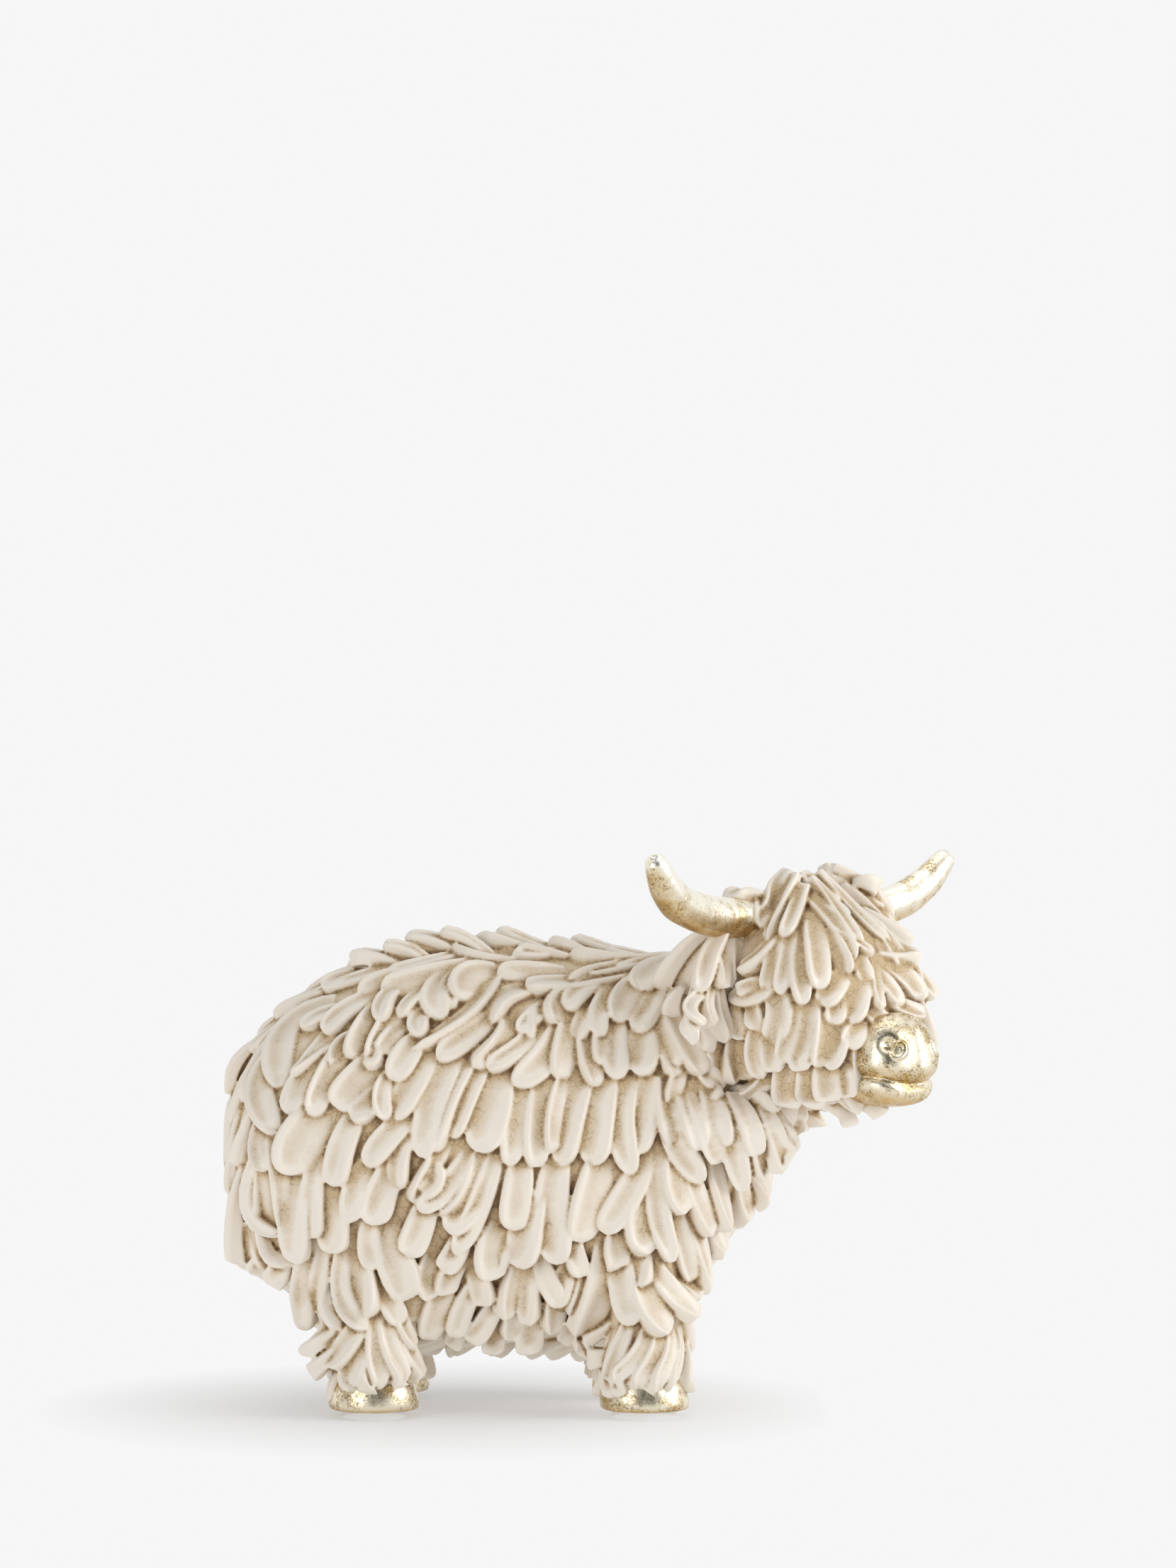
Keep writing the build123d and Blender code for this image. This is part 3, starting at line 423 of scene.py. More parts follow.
SKIRT_LOCKS = [
    (428, 1783, 427, 1830, 442, 1871, 27), (452, 1788, 459, 1840, 487, 1869, 27),
    (481, 1783, 489, 1835, 517, 1876, 28), (508, 1778, 515, 1820, 524, 1858, 36),
    (626, 1818, 611, 1855, 598, 1886, 33), (646, 1778, 631, 1803, 627, 1825, 30),
    (574, 1808, 579, 1835, 583, 1861, 32), (666, 1818, 649, 1850, 636, 1882, 27),
    (672, 1798, 681, 1820, 689, 1839, 30), (727, 1793, 714, 1828, 706, 1856, 25),
    (747, 1798, 748, 1835, 753, 1864, 25), (764, 1783, 774, 1810, 786, 1840, 25),
    (697, 1843, 681, 1870, 668, 1891, 28), (727, 1851, 721, 1871, 716, 1887, 25),
    (702, 1873, 698, 1893, 697, 1909, 28), (753, 1860, 747, 1888, 747, 1909, 33),
    (786, 1828, 781, 1855, 775, 1877, 31), (856, 1773, 841, 1830, 806, 1877, 42),
    (872, 1768, 881, 1820, 888, 1870, 35), (909, 1806, 918, 1845, 937, 1884, 42),
    (930, 1798, 950, 1830, 981, 1862, 29), (852, 1868, 832, 1889, 812, 1906, 31),
    (648, 1868, 640, 1884, 632, 1896, 26), (400, 1780, 392, 1800, 398, 1818, 30),
    (380, 1775, 366, 1790, 362, 1800, 26), (540, 1818, 552, 1842, 566, 1866, 28),
    (605, 1780, 600, 1805, 604, 1830, 28), (830, 1790, 822, 1820, 800, 1850, 26),
    (960, 1805, 972, 1820, 985, 1835, 24), (800, 1790, 792, 1815, 790, 1840, 28),
    (820, 1855, 806, 1872, 790, 1890, 26),
]
TAIL_LOCKS = [
    (352, 1648, 352, 1712, 402, 1741, 17), (357, 1690, 372, 1765, 412, 1778, 24),
    (352, 1740, 368, 1788, 412, 1798, 24), (388, 1600, 398, 1665, 404, 1740, 26),
]
print("lower, skirt and tail locks", len(LOWER_LOCKS) + len(SKIRT_LOCKS) + len(TAIL_LOCKS))

# %% Legs
REAR_LEG_LOCKS = [
    (474, 1872, 446, 1898, 437, 1914, 24), (482, 1888, 460, 1920, 440, 1941, 26),
    (506, 1872, 486, 1905, 470, 1931, 31), (512, 1900, 499, 1935, 492, 1963, 33),
    (529, 1872, 529, 1920, 541, 1957, 24), (543, 1872, 549, 1915, 567, 1957, 24),
    (561, 1866, 571, 1910, 587, 1950, 25), (560, 1846, 568, 1880, 578, 1904, 26),
    (470, 1915, 472, 1940, 480, 1960, 24), (525, 1925, 520, 1945, 515, 1965, 22),
]
FRONT_LEG_LOCKS = [
    (882, 1882, 873, 1920, 867, 1952, 24), (912, 1882, 895, 1918, 864, 1950, 20),
    (930, 1884, 914, 1922, 884, 1955, 20), (946, 1886, 933, 1925, 904, 1960, 20),
    (958, 1886, 950, 1925, 930, 1957, 20), (967, 1892, 966, 1928, 956, 1953, 19),
    (862, 1895, 859, 1935, 862, 1964, 22), (872, 1893, 868, 1935, 870, 1970, 22),
    (885, 1920, 878, 1945, 876, 1970, 18),
]
NEAR_BODY_LOCKS = (BACK_LOCKS + SHOULDER_LOCKS + COLLAR_LOCKS + FLANK_LOCKS + LOWER_LOCKS + SKIRT_LOCKS
                   + TAIL_LOCKS + REAR_LEG_LOCKS + FRONT_LEG_LOCKS)
print("near locks of the body", len(NEAR_BODY_LOCKS))

# %% Crown, forehead and cheek
CROWN_LOCKS = [
    (1056, 1256, 1036, 1256, 1016, 1262, 16), (1080, 1262, 1052, 1266, 1022, 1271, 24),
    (1096, 1250, 1065, 1248, 1037, 1257, 20), (1102, 1238, 1086, 1275, 1078, 1312, 24),
    (1116, 1244, 1101, 1285, 1086, 1330, 20), (1130, 1262, 1116, 1300, 1102, 1324, 20),
    (1142, 1240, 1162, 1266, 1179, 1282, 26), (1156, 1250, 1185, 1292, 1216, 1332, 16),
    (1168, 1244, 1205, 1290, 1252, 1332, 16), (1180, 1240, 1220, 1281, 1266, 1322, 18),
    (1190, 1228, 1226, 1260, 1256, 1300, 20), (1148, 1270, 1180, 1312, 1202, 1356, 20),
    (1172, 1242, 1166, 1230, 1163, 1219, 15), (1182, 1240, 1212, 1262, 1240, 1286, 26),
    (1200, 1252, 1224, 1280, 1246, 1312, 24), (1168, 1300, 1200, 1330, 1228, 1350, 18),
    (1208, 1240, 1222, 1246, 1238, 1258, 18), (1230, 1290, 1262, 1316, 1284, 1334, 20),
]
FOREHEAD_LOCKS = [
    (1092, 1324, 1074, 1354, 1050, 1377, 26), (1105, 1350, 1086, 1396, 1030, 1409, 28),
    (1098, 1320, 1091, 1360, 1078, 1396, 22), (1116, 1320, 1109, 1365, 1100, 1402, 22),
    (1128, 1328, 1128, 1375, 1130, 1418, 24), (1149, 1312, 1152, 1355, 1151, 1397, 31),
    (1170, 1322, 1186, 1350, 1197, 1374, 23), (1186, 1378, 1173, 1399, 1158, 1419, 30),
    (1095, 1398, 1103, 1435, 1087, 1467, 36), (1062, 1418, 1067, 1434, 1067, 1449, 27),
    (1122, 1412, 1118, 1455, 1104, 1497, 26), (1143, 1412, 1139, 1460, 1128, 1502, 26),
    (1164, 1420, 1160, 1465, 1150, 1502, 26), (1184, 1432, 1181, 1475, 1168, 1505, 28),
    (1211, 1376, 1206, 1412, 1198, 1446, 34), (1216, 1446, 1206, 1461, 1194, 1474, 29),
    (1233, 1368, 1231, 1400, 1233, 1427, 19), (1205, 1342, 1215, 1365, 1223, 1387, 24),
    (1246, 1338, 1272, 1346, 1296, 1356, 34), (1240, 1376, 1253, 1400, 1256, 1420, 25),
    (1262, 1366, 1284, 1390, 1291, 1414, 31), (1278, 1366, 1298, 1392, 1307, 1412, 27),
    (1222, 1422, 1240, 1440, 1252, 1448, 25), (1256, 1412, 1280, 1425, 1302, 1432, 22),
    (1178, 1395, 1180, 1420, 1176, 1446, 26), (1075, 1385, 1060, 1392, 1048, 1396, 18),
]
CHEEK_LOCKS = [
    (1028, 1412, 1040, 1440, 1060, 1461, 29), (1046, 1452, 1050, 1488, 1060, 1519, 36),
    (1072, 1448, 1068, 1480, 1076, 1516, 27), (1092, 1462, 1094, 1485, 1100, 1506, 30),
    (1108, 1508, 1112, 1535, 1108, 1558, 38), (1142, 1508, 1146, 1535, 1140, 1561, 38),
    (1165, 1504, 1166, 1528, 1168, 1548, 35), (1086, 1518, 1066, 1537, 1040, 1543, 22),
    (1084, 1565, 1110, 1570, 1140, 1572, 24), (1110, 1570, 1124, 1588, 1130, 1602, 25),
    (1142, 1570, 1150, 1584, 1150, 1598, 24), (1178, 1556, 1194, 1572, 1201, 1589, 25),
    (1210, 1552, 1232, 1563, 1251, 1572, 23), (1160, 1552, 1180, 1562, 1205, 1568, 20),
    (1130, 1470, 1128, 1490, 1132, 1508, 28), (1024, 1395, 1020, 1440, 1022, 1466, 20),
    (1190, 1504, 1196, 1522, 1204, 1540, 26), (1184, 1540, 1200, 1552, 1218, 1560, 22),
    (1240, 1556, 1262, 1562, 1280, 1560, 16), (1040, 1462, 1034, 1496, 1030, 1530, 26),
]
NEAR_HEAD_LOCKS = CROWN_LOCKS + FOREHEAD_LOCKS + CHEEK_LOCKS
print("near locks of the head", len(NEAR_HEAD_LOCKS))

# %% [markdown]
# ## From a reading to stations
# A smooth curve runs through the three read points and starts a little before the root, so that the lock
# above covers it. Each sight along it meets the core or passes it. Where it passes, the lock hangs in the
# air, and its depth may change only slowly, so that no tip shoots off behind the figurine.

# %% Seen stations
NEAR_SIDE_AWAY = 1600.0
metre_per_pixel = NEAR_SIDE_AWAY * MM / focal_pixels
ROOT_AHEAD = 0.18
NO_HIT_DEPTH = 9.0
HIT_SLOPE, MISS_SLOPE = 0.9, 0.25
OFF_CORE = 2.0 * MM
MOST_AWAY_FROM_CAMERA = 0.15


def through(first, middle_point, last, places):
    """Points on the curve that runs from first through middle_point to last."""
    first, middle_point, last = np.array(first), np.array(middle_point), np.array(last)
    pull = 2 * middle_point - (first + last) / 2
    places = places[:, None]
    return first * (1 - places) ** 2 + pull * 2 * places * (1 - places) + last * places ** 2


def slow_depths(tree, sights, hits, pixels):
    """The depth of each station, changing no faster along the lock than its slope allows."""
    depths = [hit[0].y if hit[0] is not None else NO_HIT_DEPTH for hit in hits]
    if min(depths) == NO_HIT_DEPTH:
        depths[0] = tree.find_nearest(eye + sights[0] * (EYE_AWAY * MM))[0].y
    steps = np.linalg.norm(np.diff(pixels, axis=0), axis=1) * metre_per_pixel
    last = len(depths) - 1
    slopes = [HIT_SLOPE if hit[0] is not None else MISS_SLOPE for hit in hits]
    for number in range(1, last + 1):
        depths[number] = min(depths[number], depths[number - 1] + float(steps[number - 1]) * slopes[number])
    for number in range(last - 1, -1, -1):
        depths[number] = min(depths[number], depths[number + 1] + float(steps[number]) * slopes[number])
    return depths


def seen_stations(tree, reading, hang=0.0):
    """Stations of a lock that is read from the photograph, on the core or in the air beside it."""
    pixels = through(reading[0:2], reading[2:4], reading[4:6], LOCK_PLACES * (1 + ROOT_AHEAD) - ROOT_AHEAD)
    sights = [sight(px, py) for px, py in pixels]
    hits = [tree.ray_cast(eye, direction.normalized()) for direction in sights]
    points, normals = [], []
    for direction, depth, hit in zip(sights, slow_depths(tree, sights, hits, pixels), hits):
        place, normal = hit[:2]
        seen = eye + direction * (depth - eye.y)
        if place is None or (place - seen).length > OFF_CORE:
            near, normal = tree.find_nearest(seen)[:2]
            normal = (normal + (seen - near) * 80.0).normalized()
        if points:
            hung = eye + direction * (points[0].y - eye.y)
            if hung.y < seen.y:
                seen = seen.lerp(hung, hang)
        points.append(seen)
        normals.append(Vector((normal.x, min(normal.y, MOST_AWAY_FROM_CAMERA), normal.z)).normalized())
    return np.array(points), np.array(normals)


def smoothed(rows, rounds=3):
    """Rows of numbers, each drawn to the mean of its neighbours."""
    for number in range(rounds):
        rows[1:-1] = (rows[:-2] + 2 * rows[1:-1] + rows[2:]) / 4
    return rows


print("millimetres in a pixel", round(metre_per_pixel / MM, 4))

# %% [markdown]
# ## Lay the near locks
# What the eye reads as a lock's width is only what its neighbours leave free, so each is made a quarter
# wider. Locks whose root lies low on the body or the head also hang a little free of the core.

# %% Near locks
FULL_WIDTH = 1.25
for coat, tree, readings, free_below, hang in ((body_coat, body_tree, NEAR_BODY_LOCKS, 1590, 0.5),
                                               (head_coat, head_tree, NEAR_HEAD_LOCKS, 1400, 0.4)):
    for reading in readings:
        points, normals = seen_stations(tree, reading, hang if reading[1] > free_below else 0.0)
        coat.lock(smoothed(points), smoothed(normals), reading[6] * metre_per_pixel * FULL_WIDTH)
print("near locks", body_coat.count, head_coat.count)

# %% [markdown]
# ## Locks on the sides that the photograph doesn't show
# The rest of each core is covered by scattered locks. Roots are thrown at random and kept only where they
# have room, which spaces them evenly without rows. Each lock then walks over the surface: down, a little
# towards the rear on the body, and away from the poll on the head. Where the surface turns under, the lock
# hangs free.

# %% Roots
muzzle_low, muzzle_high = (Vector(corner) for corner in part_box("muzzle"))
muzzle_middle = (muzzle_low + muzzle_high) / 2
MUZZLE_ROOM = (17.0, 17.0, 17.5)


def triangles_of(points, faces):
    """Corners of the triangles of a mesh, as an array."""
    corners = []
    for face in faces:
        for step in range(1, len(face) - 1):
            corners.append((points[face[0]], points[face[step]], points[face[step + 1]]))
    return np.array([[tuple(point) for point in corner] for corner in corners])


def outer_points(tree, triangles, count, chance):
    """Random points, evenly spread over the outer surface, with their normals."""
    edge_a = triangles[:, 1] - triangles[:, 0]
    edge_b = triangles[:, 2] - triangles[:, 0]
    crosses = np.cross(edge_a, edge_b)
    areas = np.linalg.norm(crosses, axis=1)
    picks = chance.choice(len(areas), size=count, p=areas / areas.sum())
    first, second = chance.random(count), chance.random(count)
    flip = first + second > 1
    first[flip], second[flip] = 1 - first[flip], 1 - second[flip]
    places = triangles[picks, 0] + edge_a[picks] * first[:, None] + edge_b[picks] * second[:, None]
    kept = []
    for place, cross in zip(places, crosses[picks]):
        normal = Vector(cross).normalized()
        start = Vector(place) + normal * (0.05 * MM)
        if tree.ray_cast(start, normal, 0.3)[0] is None:
            kept.append((Vector(place), normal))
    return kept


def in_muzzle(point):
    """Whether a place lies in the muzzle or right beside it."""
    away = (Vector(point) - muzzle_middle) / MM
    return sum((away[axis] / MUZZLE_ROOM[axis]) ** 2 for axis in range(3)) < 1


print("muzzle's middle, mm", [round(v, 1) for v in from_middle(muzzle_middle)])

# %% Walk over a core


def walked(tree, root, normal, flow, length, hang):
    """Stations of a lock that walks over a core from its root, along a flow."""
    places = [root]
    outs = [normal]
    place, out, heading = root, normal, None
    for step in np.diff(LOCK_PLACES) * length:
        wanted = flow(place, out)
        tangent = wanted - out * wanted.dot(out)
        tangent = tangent.normalized() if tangent.length > 0.05 else wanted.normalized()
        heading = tangent if heading is None else (heading * 0.45 + tangent * 0.55).normalized()
        ahead = place + heading * float(step)
        near, near_out = tree.find_nearest(ahead)[:2]
        if near_out.z > -0.35 and near_out.dot(out) > 0.2:
            place = near
            out = (out * 0.5 + near_out * 0.5).normalized()
        else:
            place = ahead
        places.append(place)
        outs.append(out)
    falling = flow(root, normal)
    level = Vector((normal.x, normal.y, 0.0))
    falling = (falling - level * max(0.0, falling.dot(level))).normalized()
    hang *= min(1.0, max(0.0, 1.0 + (normal.z + 0.15) * 2.5))
    for number, slide in enumerate(LOCK_PLACES * length):
        hung = root + falling * float(slide)
        if (hung - places[number]).dot(normal) > 0:
            places[number] = places[number].lerp(hung, hang)
            outs[number] = outs[number].lerp(normal, hang).normalized()
    return np.array([tuple(v) for v in places]), np.array([tuple(v) for v in outs])


def has_room(place, normal, down, roots, across, along):
    """Whether no other root lies in the flat egg around a place."""
    side = down.cross(normal)
    for other in roots:
        gap = place - other
        if abs(gap.x) < along and abs(gap.y) < along and abs(gap.z) < along:
            parts = (gap.dot(side) / across, gap.dot(down) / along, gap.dot(normal) / across)
            if parts[0] ** 2 + parts[1] ** 2 + parts[2] ** 2 < 1:
                return False
    return True


def scatter(coat, tree, triangles, seed, rule, flow, tries, spacing):
    """Throw locks over a core. rule says how long, wide, proud and free a lock is at a place, or None."""
    chance = np.random.default_rng(seed)
    roots = []
    for place, normal in outer_points(tree, triangles, tries, chance):
        shape = rule(place, normal)
        if shape is None:
            continue
        wanted = flow(place, normal)
        down = (wanted - normal * wanted.dot(normal)).normalized()
        if not has_room(place, normal, down, roots, *spacing):
            continue
        length, width, thickness, lift, hang = shape
        points, normals = walked(tree, place, normal, flow, length * MM * chance.uniform(0.88, 1.15), hang)
        if any(in_muzzle(point) for point in points):
            continue
        roots.append(place)
        coat.lock(points, normals, width * MM * chance.uniform(0.88, 1.12), thickness, lift)
    return len(roots)


print("walking steps in a lock", len(LOCK_PLACES) - 1)

# %% [markdown]
# ## Where the body's scattered locks grow
# Heights and lengths are millimetres from the middle of the body. No lock grows where the near readings
# already cover the core, in the throat behind the head, or down on the hooves. The chest's are short and
# flat, and on the legs each ends above the hoof.

# %% Body locks
THROAT_FROM, THROAT_ABOVE = 53, 92
CHEST_FROM, CHEST_HEIGHTS = 34, (30, 92)
HOOF_TOP, LEG_TOP, BACK_FROM = 14, 40, 118


def body_flow(place, normal):
    """Hair on the body hangs, and leans to the rear."""
    x, y, z = from_middle(place)
    lean = 0.38 if x < 20 else 0.10
    if z > 120:
        lean += (z - 120) / 24 * 0.9
    return Vector((-lean, 0.0, -1.0))


def body_rule(place, normal):
    """Length, width, thickness, lift and hang of a scattered lock on the body."""
    x, y, z = from_middle(place)
    is_read = normal.dot(sight_back(place)) > 0.22 and not (z < 34 and y > 0)
    if is_read or (x > THROAT_FROM and z > THROAT_ABOVE) or z < HOOF_TOP:
        return None
    lift = 0.9 if y > 30 or x < -95 else 1.6
    if x > CHEST_FROM and CHEST_HEIGHTS[0] < z < CHEST_HEIGHTS[1]:
        return (16.0, 8.4, 1.6, 0.4, 0.0)
    if z < LEG_TOP:
        return (min(20.0, (z - 4.5) / 1.15), 8.0, 1.7, lift, 0.35)
    if z > BACK_FROM:
        return (19.0, 8.6, 2.0, lift, 0.0)
    return (23.0, 9.0, 2.0, lift, 0.45 * min(1.0, max(0.0, (110.0 - z) / 20.0)))


body_triangles = triangles_of(body_points, body_faces)
made = scatter(body_coat, body_tree, body_triangles, 5, body_rule, body_flow, 16000, (7.6 * MM, 13.0 * MM))
print("scattered body locks", made)

# %% [markdown]
# ## Where the head's scattered locks grow
# The poll is the crest between the horns, and all hair on the head falls away from it. A ring of short locks
# closes the poll first, because chance alone leaves a bald spot where the flow parts.

# %% Head locks
poll = middle + Vector((60.0, -14.0, 168.0)) * MM
facing = Vector((1.0, -1.0, 0.0)).normalized()
CHIN_HEIGHT, NECK_JOINT_HEIGHT = 88, 125


def head_flow(place, normal):
    """Hair on the head falls away from the poll."""
    away = place - poll
    away.z = 0.0
    return Vector((0.0, 0.0, -1.0)) + away.normalized() * 0.8


def head_rule(place, normal):
    """Length, width, thickness, lift and hang of a scattered lock on the head."""
    height = from_middle(place).z
    in_neck_joint = normal.dot(facing) < -0.85 and height < NECK_JOINT_HEIGHT
    if normal.dot(sight_back(place)) > 0.25 or in_neck_joint or height < CHIN_HEIGHT:
        return None
    return (18.0, 7.6, 1.6, 0.9, 0.2 if height < NECK_JOINT_HEIGHT else 0.0)


for turn in np.linspace(0.3, 6.4, 9):
    around_poll = poll + Vector((math.cos(turn), math.sin(turn), 0.0)) * (2.5 * MM)
    place, normal = head_tree.find_nearest(around_poll)[:2]
    points, normals = walked(head_tree, place, normal, head_flow, 15.0 * MM, 0.0)
    head_coat.lock(points, normals, 7.6 * MM, 1.7, 0.8)
head_triangles = triangles_of(head_points, head_faces)
made = scatter(head_coat, head_tree, head_triangles, 9, head_rule, head_flow, 6000, (6.8 * MM, 11.0 * MM))
print("scattered head locks", made)

# %% [markdown]
# ## Fuse the coat with its casting
# On the real figurine the locks and the body are one casting. Booleans are slow and fragile with hundreds
# of crossing strokes, but a fine voxel remesh makes one closed skin of them all. The body casting is hollow,
# so its cavity is first filled by a blob that is grown from the inside until it lies in the wall.

# %% Mesh helpers


def filler(tree, centre, into_wall):
    """A blob that reaches from a centre into the wall around it."""
    def reached(way):
        direction = way.normalized()
        place, normal, face, distance = tree.ray_cast(centre, direction)
        reach = min(distance + into_wall, 75.0 * MM) if place is not None else 8.0 * MM
        return tuple(centre + direction * reach)
    return shaped_ball(5, reached)


def new_object(name, points, faces):
    """A mesh object from points and faces."""
    mesh = bpy.data.meshes.new(name)
    mesh.from_pydata([tuple(point) for point in points], [], [tuple(face) for face in faces])
    mesh.validate()
    mesh.update()
    piece = bpy.data.objects.new(name, mesh)
    bpy.context.scene.collection.objects.link(piece)
    return piece


def applied(piece):
    """The piece with its modifiers turned into mesh."""
    graph = bpy.context.evaluated_depsgraph_get()
    mesh = bpy.data.meshes.new_from_object(piece.evaluated_get(graph))
    piece.modifiers.clear()
    piece.data = mesh
    mesh.polygons.foreach_set("use_smooth", [True] * len(mesh.polygons))
    return piece


def rounded(piece, levels):
    """The piece with its faces divided and rounded."""
    rounder = piece.modifiers.new("rounder", "SUBSURF")
    rounder.levels = rounder.render_levels = levels
    return applied(piece)


body_filler = filler(body_tree, middle + Vector((-25.0, 0.0, 84.0)) * MM, 2.5 * MM)
print("filler points", len(body_filler[0]))

# %% [markdown]
# ## Take off loose flakes
# Where a lock's thin rim barely touches its neighbour, the remesh leaves a few crumbs that hang in the air.
# Each point takes the lowest number among its neighbours until nothing changes. Points with one number are
# then one shell, and only the largest shell stays.

# %% Flakes


def shells_of(mesh):
    """The number of the shell that each point belongs to."""
    edges = np.empty(len(mesh.edges) * 2, dtype=np.int64)
    mesh.edges.foreach_get("vertices", edges)
    edges = edges.reshape(-1, 2)
    shell = np.arange(len(mesh.vertices))
    while True:
        lower = np.minimum(shell[edges[:, 0]], shell[edges[:, 1]])
        after = shell.copy()
        np.minimum.at(after, edges[:, 0], lower)
        np.minimum.at(after, edges[:, 1], lower)
        after = after[after]
        if np.array_equal(after, shell):
            return shell
        shell = after


def without_flakes(piece):
    """The piece without the small shells that the remesh leaves apart from it."""
    shell = shells_of(piece.data)
    shells, sizes = np.unique(shell, return_counts=True)
    if len(shells) > 1:
        work = bmesh.new()
        work.from_mesh(piece.data)
        work.verts.ensure_lookup_table()
        loose = [work.verts[number] for number in np.flatnonzero(shell != shells[np.argmax(sizes)])]
        bmesh.ops.delete(work, geom=loose, context="VERTS")
        work.to_mesh(piece.data)
        work.free()
    print(piece.name, "flakes taken off", len(shells) - 1, "points", int(len(shell) - sizes.max()))


# %% Fused castings
VOXEL = 0.45 * MM
SOFTEN_SHARE = 0.5


def fused(name, coat, voxel):
    """One closed skin of all that a coat holds."""
    piece = new_object(name, np.concatenate(coat.points), coat.faces)
    remesh = piece.modifiers.new("fuse", "REMESH")
    remesh.mode = "VOXEL"
    remesh.voxel_size = voxel
    remesh.use_smooth_shade = True
    soften = piece.modifiers.new("soften", "SMOOTH")
    soften.factor = SOFTEN_SHARE
    soften.iterations = 1
    without_flakes(applied(piece))
    size = [round(side / MM, 1) for side in piece.dimensions]
    print(name, "faces", len(piece.data.polygons), "size mm", size)
    return piece


body_coat.add([tuple(point) for point in body_points], body_faces)
body_coat.add(*body_filler)
head_coat.add([tuple(point) for point in head_points], head_faces)
body = fused("body", body_coat, VOXEL)
head = fused("head", head_coat, VOXEL)

# %% [markdown]
# ## Ears
# An ear is a drooping leaf with its own fan of locks. The near ear is read from the photograph. The far ear
# hardly shows, and a pair of ears is alike, so it is the near one's mirror image in the upright plane
# between the horns.

# %% Ears
NEAR_EAR_LOCKS = [
    (990, 1316, 958, 1350, 934, 1397, 40), (1002, 1320, 980, 1360, 967, 1403, 25),
    (1014, 1322, 996, 1362, 984, 1401, 26), (1024, 1324, 1012, 1364, 1004, 1394, 25),
    (1042, 1326, 1033, 1362, 1022, 1391, 28), (955, 1396, 949, 1418, 954, 1438, 28),
    (988, 1398, 975, 1420, 979, 1444, 17), (1003, 1391, 992, 1420, 1000, 1450, 17),
    (1014, 1388, 1008, 1425, 1017, 1468, 21), (966, 1436, 973, 1450, 986, 1459, 20),
    (1010, 1316, 1030, 1330, 1040, 1352, 22),
]
head_foot = middle + Vector((61.6, -15.0, 0.0)) * MM
head_left = Vector((1.0, 1.0, 0.0)).normalized()
EAR_VOXEL_SHARE = 0.9


def mirrored(points):
    """Points reflected in the head's upright middle plane."""
    away = (points - np.array(head_foot)) @ np.array(head_left)
    return points - 2 * away[:, None] * np.array(head_left)[None, :]


near_ear_coat, far_ear_coat = Coat(), Coat()
ear_points, ear_faces = node_mesh(["ear_right"])
ear_tree = BVHTree.FromPolygons(ear_points, ear_faces)
near_ear_coat.add([tuple(point) for point in ear_points], ear_faces)
for reading in NEAR_EAR_LOCKS:
    points, normals = seen_stations(ear_tree, reading)
    near_ear_coat.lock(smoothed(points), smoothed(normals), reading[6] * metre_per_pixel * FULL_WIDTH,
                       thickness=2.0, lift=2.6, roll=dice.uniform(-0.15, 0.15))
far_ear_coat.points = [mirrored(points) for points in near_ear_coat.points]
far_ear_coat.faces = list(near_ear_coat.faces)
near_ear = fused("near_ear", near_ear_coat, VOXEL * EAR_VOXEL_SHARE)
far_ear = fused("far_ear", far_ear_coat, VOXEL * EAR_VOXEL_SHARE)

# %% [markdown]
# ## Horns
# Each horn leaves the head level, then turns up to a blunt tip. A curve with a bevel would be perfectly
# round, and these were rolled by hand. So rings are swept along the middle line, with slow lumps in them.
# Each row of the line is: outwards, height, forwards and radius, in millimetres.

# %% Horns
HORN_LINE = [
    (17.0, 153.8, 0.0, 6.3), (22.0, 153.8, 0.0, 6.4), (30.6, 154.2, 0.2, 6.3), (41.2, 155.6, 1.4, 6.1),
    (51.7, 158.7, 3.3, 5.8), (59.9, 164.3, 5.4, 5.0), (65.0, 170.0, 7.1, 3.9), (67.4, 173.0, 8.3, 2.7),
]
HORN_LUMPS = 0.055
DOME_FROM, DOME_LENGTH = 0.93, 0.0705


def along_line(rows, places):
    """Rows of a line, read off at even places with a smooth curve."""
    rows = np.array(rows)
    at = np.linspace(0, 1, len(rows))
    read_off = [np.interp(places, at, rows[:, column]) for column in range(rows.shape[1])]
    return smoothed(np.stack(read_off, axis=1), 6)


def swept(centres, radii, around, lumps, chance):
    """Rings swept along a line, closed by a domed tip."""
    tangents = np.gradient(centres, axis=0)
    tangents /= np.linalg.norm(tangents, axis=1)[:, None]
    across = np.cross(tangents, np.array([0.0, 0.0, 1.0]))
    across /= np.linalg.norm(across, axis=1)[:, None]
    upward = np.cross(across, tangents)
    turns = np.linspace(0, 2 * np.pi, around, endpoint=False)
    waves = [(chance.uniform(0.08, 0.3), chance.integers(1, 4), chance.uniform(0, 6.28))
             for number in range(5)]
    points = []
    for number in range(len(centres)):
        wave = sum(np.sin(turns * order + number * rate + phase) for rate, order, phase in waves)
        swell = 1 + lumps * wave / 5
        ring = across[number] * np.cos(turns)[:, None] + upward[number] * np.sin(turns)[:, None]
        points.append(centres[number] + ring * (radii[number] * swell)[:, None])
    return np.concatenate(points), ring_faces(len(centres), around, turned=True)


